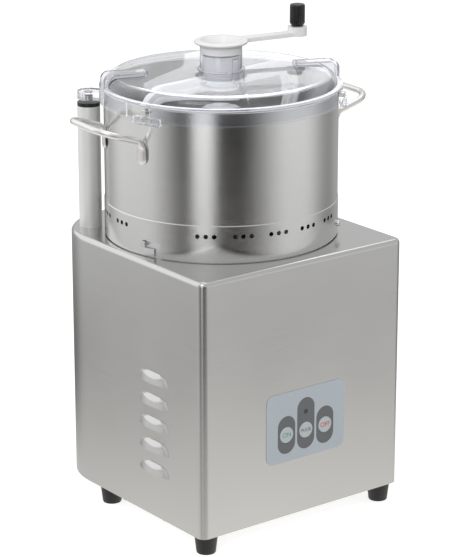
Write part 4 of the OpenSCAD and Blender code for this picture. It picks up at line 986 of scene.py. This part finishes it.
def copies_tree():
    tree = bpy.data.node_groups.new("copies_on_places", "GeometryNodeTree")
    for title, way, kind in TREE_SOCKETS:
        tree.interface.new_socket(title, in_out=way, socket_type="NodeSocket" + kind)
    entry = tree.nodes.new("NodeGroupInput").outputs
    leave = tree.nodes.new("NodeGroupOutput").inputs
    master = add(tree, "GeometryNodeObjectInfo", "Geometry", Object=entry["Master"])
    turn = add(tree, "FunctionNodeRandomValue", 1, i3=entry["Random turn"], Seed=TREE_SEED)
    angles = add(tree, "ShaderNodeCombineXYZ", Z=turn)
    placed = add(tree, "GeometryNodeInstanceOnPoints", Points=entry["Places"], Instance=master,
                 Rotation=angles, Scale=entry["Size"])
    real = add(tree, "GeometryNodeRealizeInstances", i0=placed)
    painted = add(tree, "GeometryNodeSetMaterial", Geometry=real, Material=entry["Finish"])
    tree.links.new(painted, leave["Copies"])
    return tree


COPIES = copies_tree()


def set_copies(node, master, turn=0.0):
    places = [((a.x + b.x) / 2, (a.y + b.y) / 2, a.z) for a, b in solid_boxes(node)]
    mesh = bpy.data.meshes.new("places_" + node)
    mesh.from_pydata(places, [], [])
    obj = link(bpy.data.objects.new("copies_" + node, mesh))
    modifier = obj.modifiers.new("copies", "NODES")
    modifier.node_group = COPIES
    finish = MATERIALS[SLOT_OF[node]]
    values = {"Master": master, "Size": 1.0, "Random turn": turn, "Finish": finish}
    for item in COPIES.interface.items_tree:
        if item.name in values:
            modifier[item.identifier] = values[item.name]
    apply_modifiers(obj)
    bpy.data.objects.remove(master)
    shade_smooth(obj)
    finish_piece(obj, node)
    print(node + ":", len(places))


# %% [markdown]
# The master screw has a shank, a low round head and a six-sided socket for its key. The socket
# could be a hexagon cut out afterwards. Here the lathe presses it into the socket's own rings,
# which keeps the faces clean. The master foot is a plain cone with a hollow in its tread. Both
# take their size from the first solid of their node.

# %% Screws and feet
SCREW_SIDES = 48
SHANK_SHARE = 0.56
SHANK_TIP_SHARE = 0.52
HEAD_HEIGHT_SHARE = 0.55
HEAD_FOOT_SHARE = 0.97
HEAD_CHAMFER = 0.35
SOCKET_SHARE = 0.46
SOCKET_MOUTH_SHARE = 0.5
SOCKET_MOUTH_DEPTH = 0.25
SOCKET_DEPTH_SHARE = 0.6
BROKEN_EDGE = 0.2
FOOT_SIDES = 64
FOOT_LOW_SHARE = 0.81
# Share of the radius, millimetres less, share of the height, millimetres more
FOOT_TREAD = (
    (0, 0, 0, 1.2), (0.45, 0, 0, 1.2), (0.5, 0, 0, 0), (1, 1.4, 0, 0), (1, 0.5, 0, 0.4),
    (1, 0, 0, 1.3),
)
FOOT_TOP = ((1, 0.25, 1, -1.2), (1, 0, 1, -0.5), (1, 0, 1, 0), (0, 0, 1, 0))
# Node, and whether the screw's head points up
SCREWS = (("collar_screws", False), ("motor_bolts", True), ("plate_screws", False))
ORIGIN = Vector((0, 0, 0))


def hexagon(angle):
    """Distance from the middle of a hexagon to its side, as a share of its corners' distance."""
    return math.cos(math.pi / 6) / math.cos((angle + math.pi / 6) % (math.pi / 3) - math.pi / 6)


def solid_size(node):
    low, high = solid_boxes(node)[0]
    return (high.x - low.x) / 2 / MM, (high.z - low.z) / MM


def socket_screw(node, head_up):
    r, h = solid_size(node)
    head = min(HEAD_HEIGHT_SHARE * r, h / 2)
    socket_r = SOCKET_SHARE * r
    socket_z = h - SOCKET_DEPTH_SHARE * head
    profile = [
        (0, 0), (SHANK_TIP_SHARE * r, 0), (SHANK_SHARE * r, BROKEN_EDGE),
        (SHANK_SHARE * r, h - head), (HEAD_FOOT_SHARE * r, h - head), (r, h - head + BROKEN_EDGE),
        (r, h - HEAD_CHAMFER), (r - HEAD_CHAMFER, h), (SOCKET_MOUTH_SHARE * r, h),
        (socket_r, h - SOCKET_MOUTH_DEPTH), (socket_r, socket_z), (0, socket_z),
    ]
    if not head_up:
        profile = [(radius, h - height) for radius, height in reversed(profile)]
    return lathe("master_" + node, profile, ORIGIN, SCREW_SIDES,
                 lambda angle, radius, height: hexagon(angle) if radius == socket_r else 1.0)


def rubber_foot(node):
    r, h = solid_size(node)
    profile = outline(FOOT_TREAD, FOOT_LOW_SHARE * r, h) + outline(FOOT_TOP, r, h)
    return lathe("master_" + node, profile, ORIGIN, FOOT_SIDES)


set_copies("rubber_feet", rubber_foot("rubber_feet"))
for node_name, points_up in SCREWS:
    set_copies(node_name, socket_screw(node_name, points_up), turn=math.tau)

# %% [markdown]
# The push buttons carry short printed words. A word could be painted with a texture, but a thin
# raised print stays sharp at any distance and moves with its own button. The button's face is
# set back by the depth of the print, so that the word ends level with the CAD face.

# %% Printed words
PRINT_DEPTH = 0.06 * MM
# Node, word, size in millimetres, finish
WORDS = (
    ("start_button", "ON", 8.4, "print_green"),
    ("pulse_button", "PULSE", 5.8, "print_grey"),
    ("stop_button", "OFF", 8.6, "print_red"),
)


def sink_face(node):
    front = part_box(node)[0].y
    for vert in bpy.data.objects["fine_" + node].data.vertices:
        if vert.co.y < front + PRINT_DEPTH:
            vert.co.y += PRINT_DEPTH


def print_word(node, word, size, material):
    curve = bpy.data.curves.new("word_" + word.lower(), "FONT")
    curve.body = word
    curve.size = size * MM
    curve.extrude = PRINT_DEPTH / 2
    curve.align_x = "CENTER"
    curve.align_y = "CENTER"
    text = link(bpy.data.objects.new(curve.name, curve))
    mesh = plain_mesh(text)
    bpy.data.objects.remove(text)
    place = middle(node)
    place.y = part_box(node)[0].y + PRINT_DEPTH / 2
    mesh.transform(Matrix.Translation(place) @ Matrix.Rotation(math.pi / 2, 4, "X"))
    mesh.materials.clear()
    mesh.materials.append(MATERIALS[material])
    obj = link(bpy.data.objects.new("word_" + word.lower(), mesh))
    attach(obj, NODES[node]["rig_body"])


for row in WORDS:
    sink_face(row[0])
    print_word(*row)
print("words:", len(WORDS))

# %% [markdown]
# The nodes that no piece stands in for are sealed inside or plain, and keep their CAD shape.
# They get their finish here.

# %% Finish
for node_name, node_object in NODES.items():
    node_object.data.materials.clear()
    node_object.data.materials.append(MATERIALS[SLOT_OF[node_name]])
